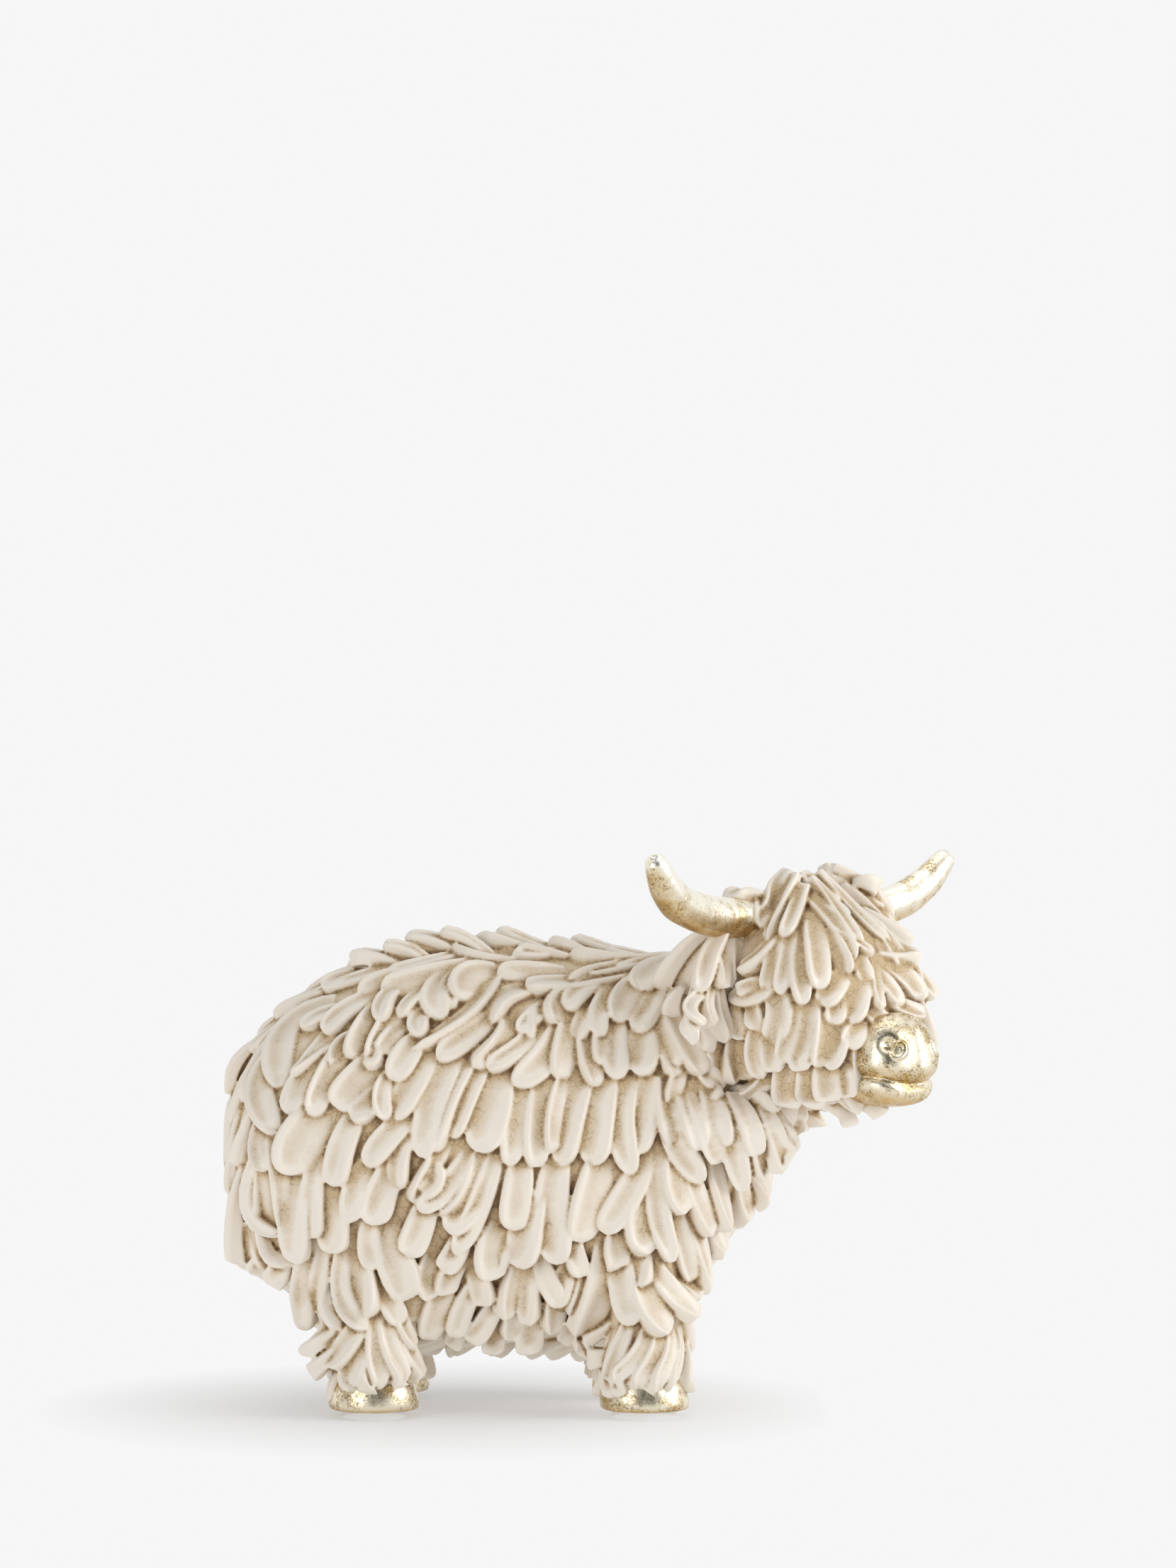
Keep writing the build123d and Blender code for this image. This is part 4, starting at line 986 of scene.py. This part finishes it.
def horn(name, side, seed):
    """One horn, on the animal's right (-1) or left (1)."""
    places = np.concatenate([np.linspace(0, DOME_FROM, 60), 1 - 0.07 * np.cos(np.linspace(0.2, 1.5, 10))])
    line = along_line(HORN_LINE, places)
    centres = (np.array(head_foot) + side * line[:, :1] * MM * np.array(head_left)
               + line[:, 2:3] * MM * np.array(facing) + line[:, 1:2] * MM * np.array([0.0, 0.0, 1.0]))
    close = np.sqrt(np.clip(1 - ((places - DOME_FROM) / DOME_LENGTH).clip(0, 1) ** 2, 0.02, 1))
    chance = np.random.default_rng(seed)
    return rounded(new_object(name, *swept(centres, line[:, 3] * MM * close, 40, HORN_LUMPS, chance)), 1)


near_horn = horn("near_horn", -1, 3)
far_horn = horn("far_horn", 1, 8)
print("horn faces", len(near_horn.data.polygons))

# %% [markdown]
# ## Muzzle
# The muzzle is a swollen ball of clay with a lower lip under a bent mouth line. Each nostril is a small pit
# with a raised curl of clay round it. A ball that is squared a little by a power is closer to it than a
# sculpted cube, and the pits are pushed in while the ball is made. The curls are swept on its surface.

# %% Snout and lip
SNOUT_HEIGHT = 110.8
LIP_BEND, MUZZLE_HALF_WIDTH = 2.6, 13.0
NOSTRIL = (8.6, 9.9, 5.4)
muzzle_foot = head_foot + head_left * (2.4 * MM) + facing * (40.2 * MM)


def muzzle_place(forward, sideways, height):
    """A place in the muzzle: millimetres ahead of its joint, to the animal's left and above the floor."""
    level = muzzle_foot + facing * (forward * MM) + head_left * (sideways * MM)
    return level + Vector((0.0, 0.0, height * MM))


def swollen(centre, half, drop, power, dents):
    """A swollen ball, pushed in where dents says. Its lower half is as deep as drop."""
    def reached(way):
        direction = way.normalized()
        grow = sum(abs(direction[axis]) ** power for axis in range(3)) ** (-1 / power)
        reach = [grow * direction[axis] * half[axis] for axis in range(3)]
        if direction.z < 0:
            reach[2] *= drop / half[2]
        else:
            reach[0], reach[1] = (along * (1 - 0.14 * reach[2] / half[2]) for along in reach[:2])
        push = dents(reach)
        forward, sideways, height = (centre[axis] + reach[axis] * push for axis in range(3))
        low = min(1.0, max(0.0, (SNOUT_HEIGHT - height) / 7.0))
        height += low * LIP_BEND * ((sideways / MUZZLE_HALF_WIDTH) ** 2 - 0.25)
        return tuple(muzzle_place(forward, sideways, height))
    return shaped_ball(6, reached)


def snout_dents(reach):
    """Nostril pits and the slight groove down the middle of the nose."""
    push = 1.0
    for side in (-1, 1):
        gap = math.dist(reach, (NOSTRIL[0], side * NOSTRIL[1], NOSTRIL[2]))
        push -= 0.20 * math.exp(-(gap / 2.0) ** 2)
    return push - 0.02 * math.exp(-(reach[1] / 1.6) ** 2) * max(0.0, reach[0] / 13.0)


snout = swollen((0.0, 0.0, SNOUT_HEIGHT), (13.6, 14.4, 14.8), 8.0, 2.7, snout_dents)
lower_lip = swollen((-1.6, 0.0, 102.4), (13.0, 13.2, 5.4), 5.2, 2.9, lambda reach: 1.0)
snout_tree = BVHTree.FromPolygons(*snout)
print("snout and lip faces", len(snout[1]), len(lower_lip[1]))

# %% Nostril curls
CURL_POINTS = 40
CURL_START, CURL_SWEEP = 200.0, 330.0
AHEAD_OF_SNOUT, SPREAD = 30.0, 2.2


def curl(side):
    """The raised curl round one nostril, from the outer side, under the pit and up to a hook."""
    centres, radii = [], []
    for number in range(CURL_POINTS):
        share = number / (CURL_POINTS - 1)
        turn = math.radians(CURL_START + CURL_SWEEP * share)
        wide = 4.6 - 3.0 * share
        sideways = NOSTRIL[1] - wide * math.cos(turn) * 0.95
        height = NOSTRIL[2] - 0.4 + wide * math.sin(turn) * 0.85
        start = muzzle_place(AHEAD_OF_SNOUT, side * sideways * SPREAD, SNOUT_HEIGHT + height * SPREAD)
        place, normal = snout_tree.ray_cast(start, muzzle_place(0.0, 0.0, SNOUT_HEIGHT) - start)[:2]
        centres.append(tuple(place - normal * (0.2 * MM)))
        radii.append((0.5 + 0.6 * math.sin(math.pi * min(share * 1.1, 1.0))) * MM)
    return swept(np.array(centres), np.array(radii), 12, 0.0, np.random.default_rng(1))


muzzle_coat = Coat()
for part in (snout, lower_lip, curl(-1), curl(1)):
    muzzle_coat.add(*part)
muzzle = fused("gilded_muzzle", muzzle_coat, VOXEL * 0.7)

# %% [markdown]
# ## Hooves
# A hoof is a low block with rounded edges and a shallow cleft in front. It is drawn as a turned profile, as
# on a potter's wheel, whose rings swell a little by chance. Each row is a height in millimetres and a share
# of the full width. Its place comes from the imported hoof, so it stands where the part stands.

# %% Hooves
HOOF_PROFILE = [
    (0.0, 0.80), (0.2, 0.925), (0.9, 0.985), (2.2, 1.0), (4.5, 0.985), (7.0, 0.95), (9.8, 0.86), (11.5, 0.6),
]
HOOF_LENGTH_HALF, HOOF_WIDTH_HALF = 14.1, 13.1
HOOF_AROUND = 64
HOOF_LUMPS, CLEFT_DEPTH, CLEFT_WIDTH = 0.012, 0.10, 0.09
LEGS = ["front_right", "front_left", "rear_right", "rear_left"]


def hoof(name, node, seed):
    """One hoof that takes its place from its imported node."""
    low, high = (Vector(corner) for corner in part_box(node))
    foot = Vector(((low.x + high.x) / 2, (low.y + high.y) / 2, low.z))
    phases = np.random.default_rng(seed).uniform(0, 6.28, 3)
    points = []
    for rise, wide in HOOF_PROFILE:
        for step in range(HOOF_AROUND):
            turn = 2 * math.pi * step / HOOF_AROUND
            waves = sum(math.sin(turn * (order + 1) + phases[order] + rise * 0.4) for order in range(3))
            from_front = ((turn + math.pi) % (2 * math.pi)) - math.pi
            swell = 1 + HOOF_LUMPS * waves - CLEFT_DEPTH * math.exp(-(from_front / CLEFT_WIDTH) ** 2)
            points.append((foot.x + HOOF_LENGTH_HALF * MM * wide * swell * math.cos(turn),
                           foot.y + HOOF_WIDTH_HALF * MM * wide * swell * math.sin(turn), foot.z + rise * MM))
    return rounded(new_object(name, points, ring_faces(len(HOOF_PROFILE), HOOF_AROUND)), 2)


hooves = {leg: hoof("gilded_hoof_" + leg, "hoof_" + leg, 20 + number) for number, leg in enumerate(LEGS)}
print("hoof faces", {leg: len(piece.data.polygons) for leg, piece in hooves.items()})

# %% [markdown]
# ## How hollow each place is
# The painter brushes thin tan paint over everything and wipes it back, so it stays where a place lies lower
# than its surroundings. The tan and the umber laid by these hollows also stand for the shade that falls in
# them, so they are partly painted shade. An ambient occlusion node would depend on the renderer, so the
# hollows are measured on the mesh: each point is compared with the mean of its neighbourhood, near and wide.

# %% Hollows
NEAR_ROUNDS, WIDE_ROUNDS = ((22, 130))
KEPT_SHARE = 0.35


def neighbour_means(values, edges, count, rounds):
    """Values drawn to the mean of their neighbours, round after round."""
    degree = np.bincount(edges.ravel(), minlength=count).astype(float)
    degree[degree == 0] = 1
    for number in range(rounds):
        total = np.empty_like(values)
        for axis in range(values.shape[1]):
            total[:, axis] = (np.bincount(edges[:, 0], weights=values[edges[:, 1], axis], minlength=count)
                              + np.bincount(edges[:, 1], weights=values[edges[:, 0], axis], minlength=count))
        values = KEPT_SHARE * values + (1 - KEPT_SHARE) * total / degree[:, None]
    return values


def mark_hollows(piece):
    """Keep on the mesh how hollow each point is, as near and wide hollows."""
    mesh = piece.data
    count = len(mesh.vertices)
    places, normals = np.empty(count * 3), np.empty(count * 3)
    edges = np.empty(len(mesh.edges) * 2, dtype=np.int64)
    mesh.vertices.foreach_get("co", places)
    mesh.vertices.foreach_get("normal", normals)
    mesh.edges.foreach_get("vertices", edges)
    places, normals, edges = places.reshape(-1, 3), normals.reshape(-1, 3), edges.reshape(-1, 2)
    near = neighbour_means(places, edges, count, NEAR_ROUNDS)
    wide = neighbour_means(near, edges, count, WIDE_ROUNDS)
    for name, mean, rounds in (("near_hollow", near, 2), ("wide_hollow", wide, 4)):
        depth = np.sum((mean - places) * normals, axis=1)[:, None] / MM
        depth = neighbour_means(depth, edges, count, rounds)[:, 0]
        attribute = mesh.attributes.new(name, "FLOAT", "POINT")
        attribute.data.foreach_set("value", depth.astype(np.float32))
        shown = [round(float(np.percentile(depth, share)), 3) for share in (5, 25, 50, 75, 95)]
        print(piece.name, name, "mm", shown)


for piece in (body, head, near_ear, far_ear, muzzle):
    mark_hollows(piece)

# %% [markdown]
# ## Colours, sizes and nodes
# Colours are written as a paint chart gives them and turned to linear light by one function. A pattern's
# scale is worked out from the size of its features in millimetres. One function adds every node.

# %% Material helpers
NOISE, RANGE, MATH, MIX = "ShaderNodeTexNoise", "ShaderNodeMapRange", "ShaderNodeMath", "ShaderNodeMix"
BUMP, SURFACE, VECTOR = "ShaderNodeBump", "ShaderNodeBsdfPrincipled", "ShaderNodeVectorMath"
MIXED_COLOUR = 2


def linear(code):
    """Linear colour of a hex code."""
    parts = [int(code[start:start + 2], 16) / 255 for start in (0, 2, 4)]
    return [part / 12.92 if part <= 0.04045 else ((part + 0.055) / 1.055) ** 2.4 for part in parts] + [1.0]


def per(size_mm):
    """Pattern scale for features of a size in millimetres."""
    return 1000.0 / size_mm


def add(tree, kind, inputs=None, give=0, **settings):
    """Add a node with its settings, and a value or a link for each input. Gives one of its outputs."""
    made_node = tree.nodes.new(kind)
    for key, value in settings.items():
        setattr(made_node, key, value)
    for key, value in (inputs or {}).items():
        if isinstance(value, bpy.types.NodeSocket):
            tree.links.new(value, made_node.inputs[key])
        else:
            made_node.inputs[key].default_value = value
    return made_node.outputs[give] if made_node.outputs else None


def new_material(name):
    """An empty material, its nodes and the object's own coordinates."""
    material = bpy.data.materials.new(name)
    material.use_nodes = True
    tree = material.node_tree
    tree.nodes.clear()
    return material, tree, add(tree, "ShaderNodeTexCoord", give="Object")


print("scale of a 1 mm pattern", per(1.0))

# %% [markdown]
# ## Cast resin with a wiped wash and painted shade
# Polyester resin filled with stone powder is cast in a soft mould, so it is matt to satin, cream and a
# little uneven. Its IOR is 1.5, the shader's own default, and its roughness goes from satin on the rims to
# chalky where paint lies. The tan follows the hollows and umber sits in the deepest ones: both are partly the
# real wiped wash and partly painted shade. Upward faces take more tan, and the head's copy more all over,
# which is painted shade too. Dark specks and a crackle show in the wash. The stone powder's grain of about
# 0.1 mm and the hairline crackle are too fine for the render, so they are drawn as coarse as they need to
# show.

# %% Cream resin
PATCH_MM, GRAIN_MM, SPECK_MM, CRACKLE_MM, DIMPLE_MM = 9.0, 0.9, 0.7, 3.4, 3.0
CREAM, TAN_WASH_AND_SHADE, UMBER_WASH_AND_SHADE, SPECK_BROWN, CRACK_BROWN = "F1E8DB", "CCB48E", "6E5030", "6B4E2C", "6B4C2A"


def cream_resin(name, has_hollows=True, shade_all_over=0.0):
    """Cream resin with its wash and painted shade. The third argument paints the whole piece darker, as
    shade.
    """
    material, tree, place = new_material(name)
    near = wide = 0.0
    if has_hollows:
        near = add(tree, "ShaderNodeAttribute", give="Fac", attribute_name="near_hollow")
        wide = add(tree, "ShaderNodeAttribute", give="Fac", attribute_name="wide_hollow")
    patch, grain, speck, dimples = (
        add(tree, NOISE, {"Vector": place, "Scale": per(size), "Detail": detail, "Roughness": rough}, "Fac")
        for size, detail, rough in ((PATCH_MM, 3.0, 0.5), (GRAIN_MM, 4.0, 0.65), (SPECK_MM, 3.0, 0.7),
                                    (DIMPLE_MM, 3.0, 0.5)))
    up = add(tree, "ShaderNodeSeparateXYZ", {0: add(tree, "ShaderNodeNewGeometry", give="Normal")}, "Z")
    depth = add(tree, MATH, {0: near, 1: 1.8}, operation="MULTIPLY")
    depth = add(tree, MATH, {0: wide, 1: 0.9, 2: depth}, operation="MULTIPLY_ADD")
    # Upward faces take more tan, and the whole piece takes the third argument's amount: painted shade.
    for source, low, high, least, most in ((up, 0.35, 0.95, shade_all_over, shade_all_over + 0.22),
                                           (patch, 0.3, 0.7, -0.14, 0.14),
                                           (grain, 0.3, 0.7, -0.10, 0.10)):
        part = add(tree, RANGE, {"Value": source, "From Min": low, "From Max": high,
                                 "To Min": least, "To Max": most})
        depth = add(tree, MATH, {0: depth, 1: part}, operation="ADD")

    # The tan from the hollows: the real wiped wash and painted shade of the hollows.
    wash_and_shade = add(tree, RANGE, {"Value": depth, "From Min": -0.22, "From Max": 0.80})
    rough_edge = add(tree, RANGE, {"Value": grain, "From Min": 0.3, "From Max": 0.7,
                                   "To Min": -0.25, "To Max": 0.25})
    # Umber in the deepest hollows: partly real wash, partly painted shade.
    deep = add(tree, MATH, {0: near, 1: 2.4, 2: rough_edge}, operation="MULTIPLY_ADD")
    deep = add(tree, RANGE, {"Value": deep, "From Min": 0.34, "From Max": 0.95})
    speck = add(tree, RANGE, {"Value": speck, "From Min": 0.60, "From Max": 0.70})
    where = add(tree, RANGE, {"Value": depth, "From Min": 0.10, "From Max": 0.6})
    speck = add(tree, MATH, {0: speck, 1: where}, operation="MULTIPLY")
    crack = add(tree, "ShaderNodeTexVoronoi", {"Vector": place, "Scale": per(CRACKLE_MM)}, "Distance",
                feature="DISTANCE_TO_EDGE")
    crack = add(tree, RANGE, {"Value": crack, "From Max": 0.035, "To Min": 1.0, "To Max": 0.0})
    where = add(tree, RANGE, {"Value": depth, "From Min": 0.22, "From Max": 0.6})
    crack = add(tree, MATH, {0: crack, 1: where}, operation="MULTIPLY")
    colour = add(tree, MIX, {0: wash_and_shade, 6: linear(CREAM), 7: linear(TAN_WASH_AND_SHADE)}, MIXED_COLOUR, data_type="RGBA")
    for share, strength, stain in ((deep, 0.85, UMBER_WASH_AND_SHADE), (speck, 0.6, SPECK_BROWN), (crack, 0.5, CRACK_BROWN)):
        share = add(tree, MATH, {0: share, 1: strength}, operation="MULTIPLY")
        colour = add(tree, MIX, {0: share, 6: colour, 7: linear(stain)}, MIXED_COLOUR, data_type="RGBA")

    height = add(tree, MATH, {0: grain, 1: 0.5, 2: dimples}, operation="MULTIPLY_ADD")
    normal = add(tree, BUMP, {"Height": height, "Strength": 0.25, "Distance": 0.25 * MM}, "Normal")
    rough = add(tree, RANGE, {"Value": depth, "To Min": 0.36, "To Max": 0.72})
    shader = add(tree, SURFACE, {"Base Color": colour, "Roughness": rough, "Normal": normal})
    add(tree, "ShaderNodeOutputMaterial", {"Surface": shader})
    return material


resin = cream_resin("cream_resin_wash_and_painted_shade")
# The head's copy is painted darker all over: painted shade.
head_resin = cream_resin("cream_resin_more_painted_shade", shade_all_over=0.42)
plain_resin = cream_resin("cream_resin_unwashed", has_hollows=False)
print("resins", resin.name, head_resin.name, plain_resin.name)

# %% [markdown]
# ## Gold leaf
# The horns, muzzle and hooves are gilded with pale leaf, laid on size over the resin and rubbed. So it is a
# metal, with the metal's default IOR, bright where it was burnished. Its underside is painted ochre, which is
# painted shade, and dark brown specks lie on it at random. The leaf is pressed on unevenly, which gives lumps
# of about 4 mm, and its creases, a tenth of a millimetre in truth, are drawn at 0.7 mm so that they show.

# %% Gold leaf
LUMP_MM, CREASE_MM, WORN_MM = 4.0, 0.7, 7.0
UNDERSIDE_SHADE_OCHRE, DARK_SPECK_BROWN = "C9A152", "5E4420"


def gold_leaf(name, pale, worn, dark_share):
    """Pale gold leaf over resin, with lumps, worn patches, ochre painted shade underneath and dark specks."""
    material, tree, place = new_material(name)
    lumps, crease, patch = (
        add(tree, NOISE, {"Vector": place, "Scale": per(size), "Detail": detail, "Roughness": rough}, "Fac")
        for size, detail, rough in ((LUMP_MM, 4.0, 0.6), (CREASE_MM, 5.0, 0.7), (WORN_MM, 5.0, 0.65)))
    rubbed = add(tree, RANGE, {"Value": patch, "From Min": 0.46, "From Max": 0.66})
    colour = add(tree, MIX, {0: rubbed, 6: linear(pale), 7: linear(worn)}, MIXED_COLOUR, data_type="RGBA")
    up = add(tree, "ShaderNodeSeparateXYZ", {0: add(tree, "ShaderNodeNewGeometry", give="Normal")}, "Z")
    # Ochre on faces that look down: painted shade on the underside.
    under = add(tree, RANGE, {"Value": up, "From Min": -0.1, "From Max": -0.95})
    uneven = add(tree, RANGE, {"Value": lumps, "From Min": 0.3, "From Max": 0.6,
                               "To Min": 0.5, "To Max": 1.0})
    under = add(tree, MATH, {0: under, 1: uneven}, operation="MULTIPLY")
    # Dark brown specks at random places, where the creases and patches fall.
    speck = add(tree, RANGE, {"Value": crease, "From Min": 0.50, "From Max": 0.60})
    where = add(tree, RANGE, {"Value": patch, "From Min": dark_share, "From Max": dark_share + 0.07})
    speck = add(tree, MATH, {0: speck, 1: where}, operation="MULTIPLY")
    speck = add(tree, MATH, {0: speck, 1: 0.8}, operation="MULTIPLY")
    for share, tone in ((under, UNDERSIDE_SHADE_OCHRE), (speck, DARK_SPECK_BROWN)):
        colour = add(tree, MIX, {0: share, 6: colour, 7: linear(tone)}, MIXED_COLOUR, data_type="RGBA")
    height = add(tree, MATH, {0: crease, 1: 0.30, 2: lumps}, operation="MULTIPLY_ADD")
    normal = add(tree, BUMP, {"Height": height, "Strength": 0.5, "Distance": 0.35 * MM}, "Normal")
    rough = add(tree, RANGE, {"Value": crease, "From Min": 0.35, "From Max": 0.7,
                              "To Min": 0.2, "To Max": 0.42})
    shader = add(tree, SURFACE, {"Base Color": colour, "Metallic": 1.0, "Roughness": rough,
                                   "Normal": normal})
    add(tree, "ShaderNodeOutputMaterial", {"Surface": shader})
    return material


gold = gold_leaf("pale_gold_leaf", "F8F4E6", "E2CE9E", 0.50)
muzzle_gold = gold_leaf("pale_gold_leaf_more_worn", "F2E8D0", "CDB27A", 0.44)
print("leaf", gold.name, muzzle_gold.name)

# %% [markdown]
# ## Pads and pins
# The stick-on pads are moulded clear polyurethane, soft and slightly hazy. A refracting plastic needs many
# bounces of light between hoof and floor, so a low alpha stands for it. The pins are brushed
# steel, inside and out of sight.

# %% Clear plastic and steel


def clear_pad(name):
    """Clear soft polyurethane."""
    material, tree, place = new_material(name)
    shader = add(tree, SURFACE, {"Base Color": linear("F7F6F2"), "Roughness": 0.25, "Alpha": 0.4})
    add(tree, "ShaderNodeOutputMaterial", {"Surface": shader})
    return material


def brushed_steel(name):
    """Brushed steel for the hidden pins. The brush lines of 0.05 mm are drawn at 0.3 mm."""
    material, tree, place = new_material(name)
    grain = add(tree, NOISE, {"Vector": place, "Scale": per(0.3), "Detail": 3.0, "Roughness": 0.5}, "Fac")
    rough = add(tree, RANGE, {"Value": grain, "From Min": 0.3, "From Max": 0.7,
                              "To Min": 0.25, "To Max": 0.4})
    shader = add(tree, SURFACE, {"Base Color": linear("C0BFBC"), "Metallic": 1.0, "Roughness": rough})
    add(tree, "ShaderNodeOutputMaterial", {"Surface": shader})
    return material


pad_plastic = clear_pad("clear_soft_plastic")
pin_steel = brushed_steel("brushed_pin_steel")
print("small materials", pad_plastic.name, pin_steel.name)

# %% [markdown]
# ## Give each piece its finish
# New pieces get their material on the mesh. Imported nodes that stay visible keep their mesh, and only the
# material in their slots changes.

# %% Finishes
for piece in (body, near_ear, far_ear):
    piece.data.materials.append(resin)
head.data.materials.append(head_resin)
for piece in (near_horn, far_horn):
    piece.data.materials.append(gold)
for piece in [muzzle] + list(hooves.values()):
    piece.data.materials.append(muzzle_gold)
kept_nodes = {"belly_plug": plain_resin, "horn_pin_right": pin_steel, "horn_pin_left": pin_steel}
kept_nodes.update({"pad_" + leg: pad_plastic for leg in LEGS})
for name, material in kept_nodes.items():
    for material_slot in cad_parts[name].material_slots:
        material_slot.material = material
print("packed nodes that stay", sorted(kept_nodes))

# %% [markdown]
# ## Floor
# The figurine stands on a pale matt sweep. Near it the floor is partly matt, so it takes the soft shadow, and
# partly glowing, painted light that lifts the shadow and lights the lower parts of the figurine. Further out
# it fades into the even near-white of the backdrop, sooner on the right, where the glow is painted light that
# hides the shadow of the left lamp.

# %% Floor
BACKGROUND = "F6F6F6"
FLOOR_HALF = 6
SHADOW_SHIFT = Vector((0.045, 0.0, 0.0))


def floor_material():
    """A floor, partly matt and partly glowing as painted light, that fades into the backdrop's colour."""
    material, tree, place = new_material("studio_floor")
    away = add(tree, VECTOR, {0: place, 1: tuple(middle - SHADOW_SHIFT)}, operation="SUBTRACT")
    distance = add(tree, VECTOR, {0: away}, "Value", operation="LENGTH")
    # Near the figurine the floor glows in part: painted light that lifts its shadow and lights the figurine
    # from below.
    share = add(tree, RANGE, {"Value": distance, "From Min": 0.04, "From Max": 0.13,
                              "To Min": 0.42, "To Max": 1.0})
    along = add(tree, "ShaderNodeSeparateXYZ", {0: place}, "X")
    # On the right it glows fully: painted light that hides the left lamp's shadow there.
    right = add(tree, RANGE, {"Value": along, "From Min": middle.x + 0.03, "From Max": middle.x + 0.075})
    share = add(tree, MATH, {0: share, 1: right}, operation="MAXIMUM")
    matt = add(tree, "ShaderNodeBsdfDiffuse", {"Color": linear("ECECEC")})
    even = add(tree, "ShaderNodeEmission", {"Color": linear(BACKGROUND), "Strength": 1.0})
    mixed = add(tree, "ShaderNodeMixShader", {0: share, 1: matt, 2: even})
    add(tree, "ShaderNodeOutputMaterial", {"Surface": mixed})
    return material


floor_corners = [(across * FLOOR_HALF, back * FLOOR_HALF, 0)
                 for across, back in ((-1, -1), (1, -1), (1, 1), (-1, 1))]
floor = new_object("studio_floor", floor_corners, [(0, 1, 2, 3)])
floor.data.materials.append(floor_material())
floor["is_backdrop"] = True
print("floor side, m", 2 * FLOOR_HALF)

# %% [markdown]
# ## Room and lamps
# The camera sees the backdrop's colour. The resin is lit by a dim even room, and the gold mirrors a bright
# room that is dark around the camera, as a studio is, which gives it contrast. The lamps are large soft
# boxes: the main one on the right, a weaker one on the left and one overhead.

# %% Room
DARK_SIDE = (-0.25, -0.95, 0.05)
ROOM_LIGHT = 0.34
world = bpy.data.worlds.new("studio_light")
bpy.context.scene.world = world
world.use_nodes = True
room = world.node_tree
room.nodes.clear()
way = add(room, "ShaderNodeTexCoord", give="Generated")
towards_camera = add(room, VECTOR, {0: way, 1: DARK_SIDE}, "Value", operation="DOT_PRODUCT")
mirrored_room = add(room, RANGE, {"Value": towards_camera, "From Min": 0.35, "From Max": 0.80, "To Min": 0.95,
                                  "To Max": 0.08})
glossy = add(room, "ShaderNodeLightPath", give="Is Glossy Ray")
mirrored_part = add(room, MATH, {0: mirrored_room, 1: glossy}, operation="MULTIPLY")
not_glossy = add(room, MATH, {0: 1.0, 1: glossy}, operation="SUBTRACT")
strength = add(room, MATH, {0: not_glossy, 1: ROOM_LIGHT, 2: mirrored_part}, operation="MULTIPLY_ADD")
lighting = add(room, "ShaderNodeBackground", {"Color": linear("FFFFFF"), "Strength": strength})
backdrop = add(room, "ShaderNodeBackground", {"Color": linear(BACKGROUND), "Strength": 1.0})
is_camera = add(room, "ShaderNodeLightPath", give="Is Camera Ray")
either = add(room, "ShaderNodeMixShader", {0: is_camera, 1: lighting, 2: backdrop})
add(room, "ShaderNodeOutputWorld", {"Surface": either})
print("room nodes", len(room.nodes))

# %% Lamps
AIM_HEIGHT = 0.08


def soft_box(name, place, size, power):
    """A rectangular soft light that faces the figurine. Metres and watts."""
    data = bpy.data.lights.new(name, "AREA")
    data.shape = "RECTANGLE"
    data.size, data.size_y = size
    data.energy = power
    lamp = bpy.data.objects.new(name, data)
    lamp.location = middle + Vector(place)
    aim = middle + Vector((0.0, 0.0, AIM_HEIGHT)) - lamp.location
    lamp.rotation_euler = aim.to_track_quat("-Z", "Y").to_euler()
    bpy.context.scene.collection.objects.link(lamp)
    print(name, power, "W")


soft_box("right_box", (0.95, -0.35, 0.45), (0.6, 0.8), 5.9)
soft_box("left_box", (-0.70, -0.95, 0.35), (0.6, 0.9), 4.2)
soft_box("top_box", (0.0, 0.0, 1.15), (1.0, 0.8), 1.6)
bpy.context.scene.view_settings.view_transform = "Standard"

# %% [markdown]
# ## Hand over
# Every piece rides on the one body of the figurine, and the imported nodes that it stands for are hidden. The
# list also gives each piece's finish from the record, which nothing here reads. The two boxes are printed.

# %% Hand over
SIDES = ["right", "left"]
body_nodes = ["body_casting", "tail", "coat_ridge", "coat_rump", "coat_chest", "coat_belly"]
body_nodes += [part + side for part in ("coat_upper_", "coat_lower_", "coat_neck_") for side in SIDES]
body_nodes += ["coat_leg_" + leg for leg in LEGS]
head_nodes = ["head_casting", "coat_crown", "coat_fringe", "coat_chin"]
head_nodes += ["coat_cheek_" + side for side in SIDES]
handed = [
    (body, "cream_resin", body_nodes),
    (head, "cream_resin", head_nodes),
    (near_ear, "cream_resin", ["ear_right", "coat_ear_right"]),
    (far_ear, "cream_resin", ["ear_left", "coat_ear_left"]),
    (near_horn, "gilded_resin", ["horn_right"]),
    (far_horn, "gilded_resin", ["horn_left"]),
    (muzzle, "gilded_resin", ["muzzle"]),
]
handed += [(piece, "gilded_resin", ["hoof_" + leg]) for leg, piece in hooves.items()]
for piece, finish, nodes in handed:
    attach(piece, "root")
    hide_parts(*nodes)

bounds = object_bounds()
boxes = {"cad": [list(corner) for corner in cad_bounds], "visual": [list(corner) for corner in bounds]}
for name, box in boxes.items():
    print(name, "mm", [[round(v / MM, 1) for v in corner] for corner in box])
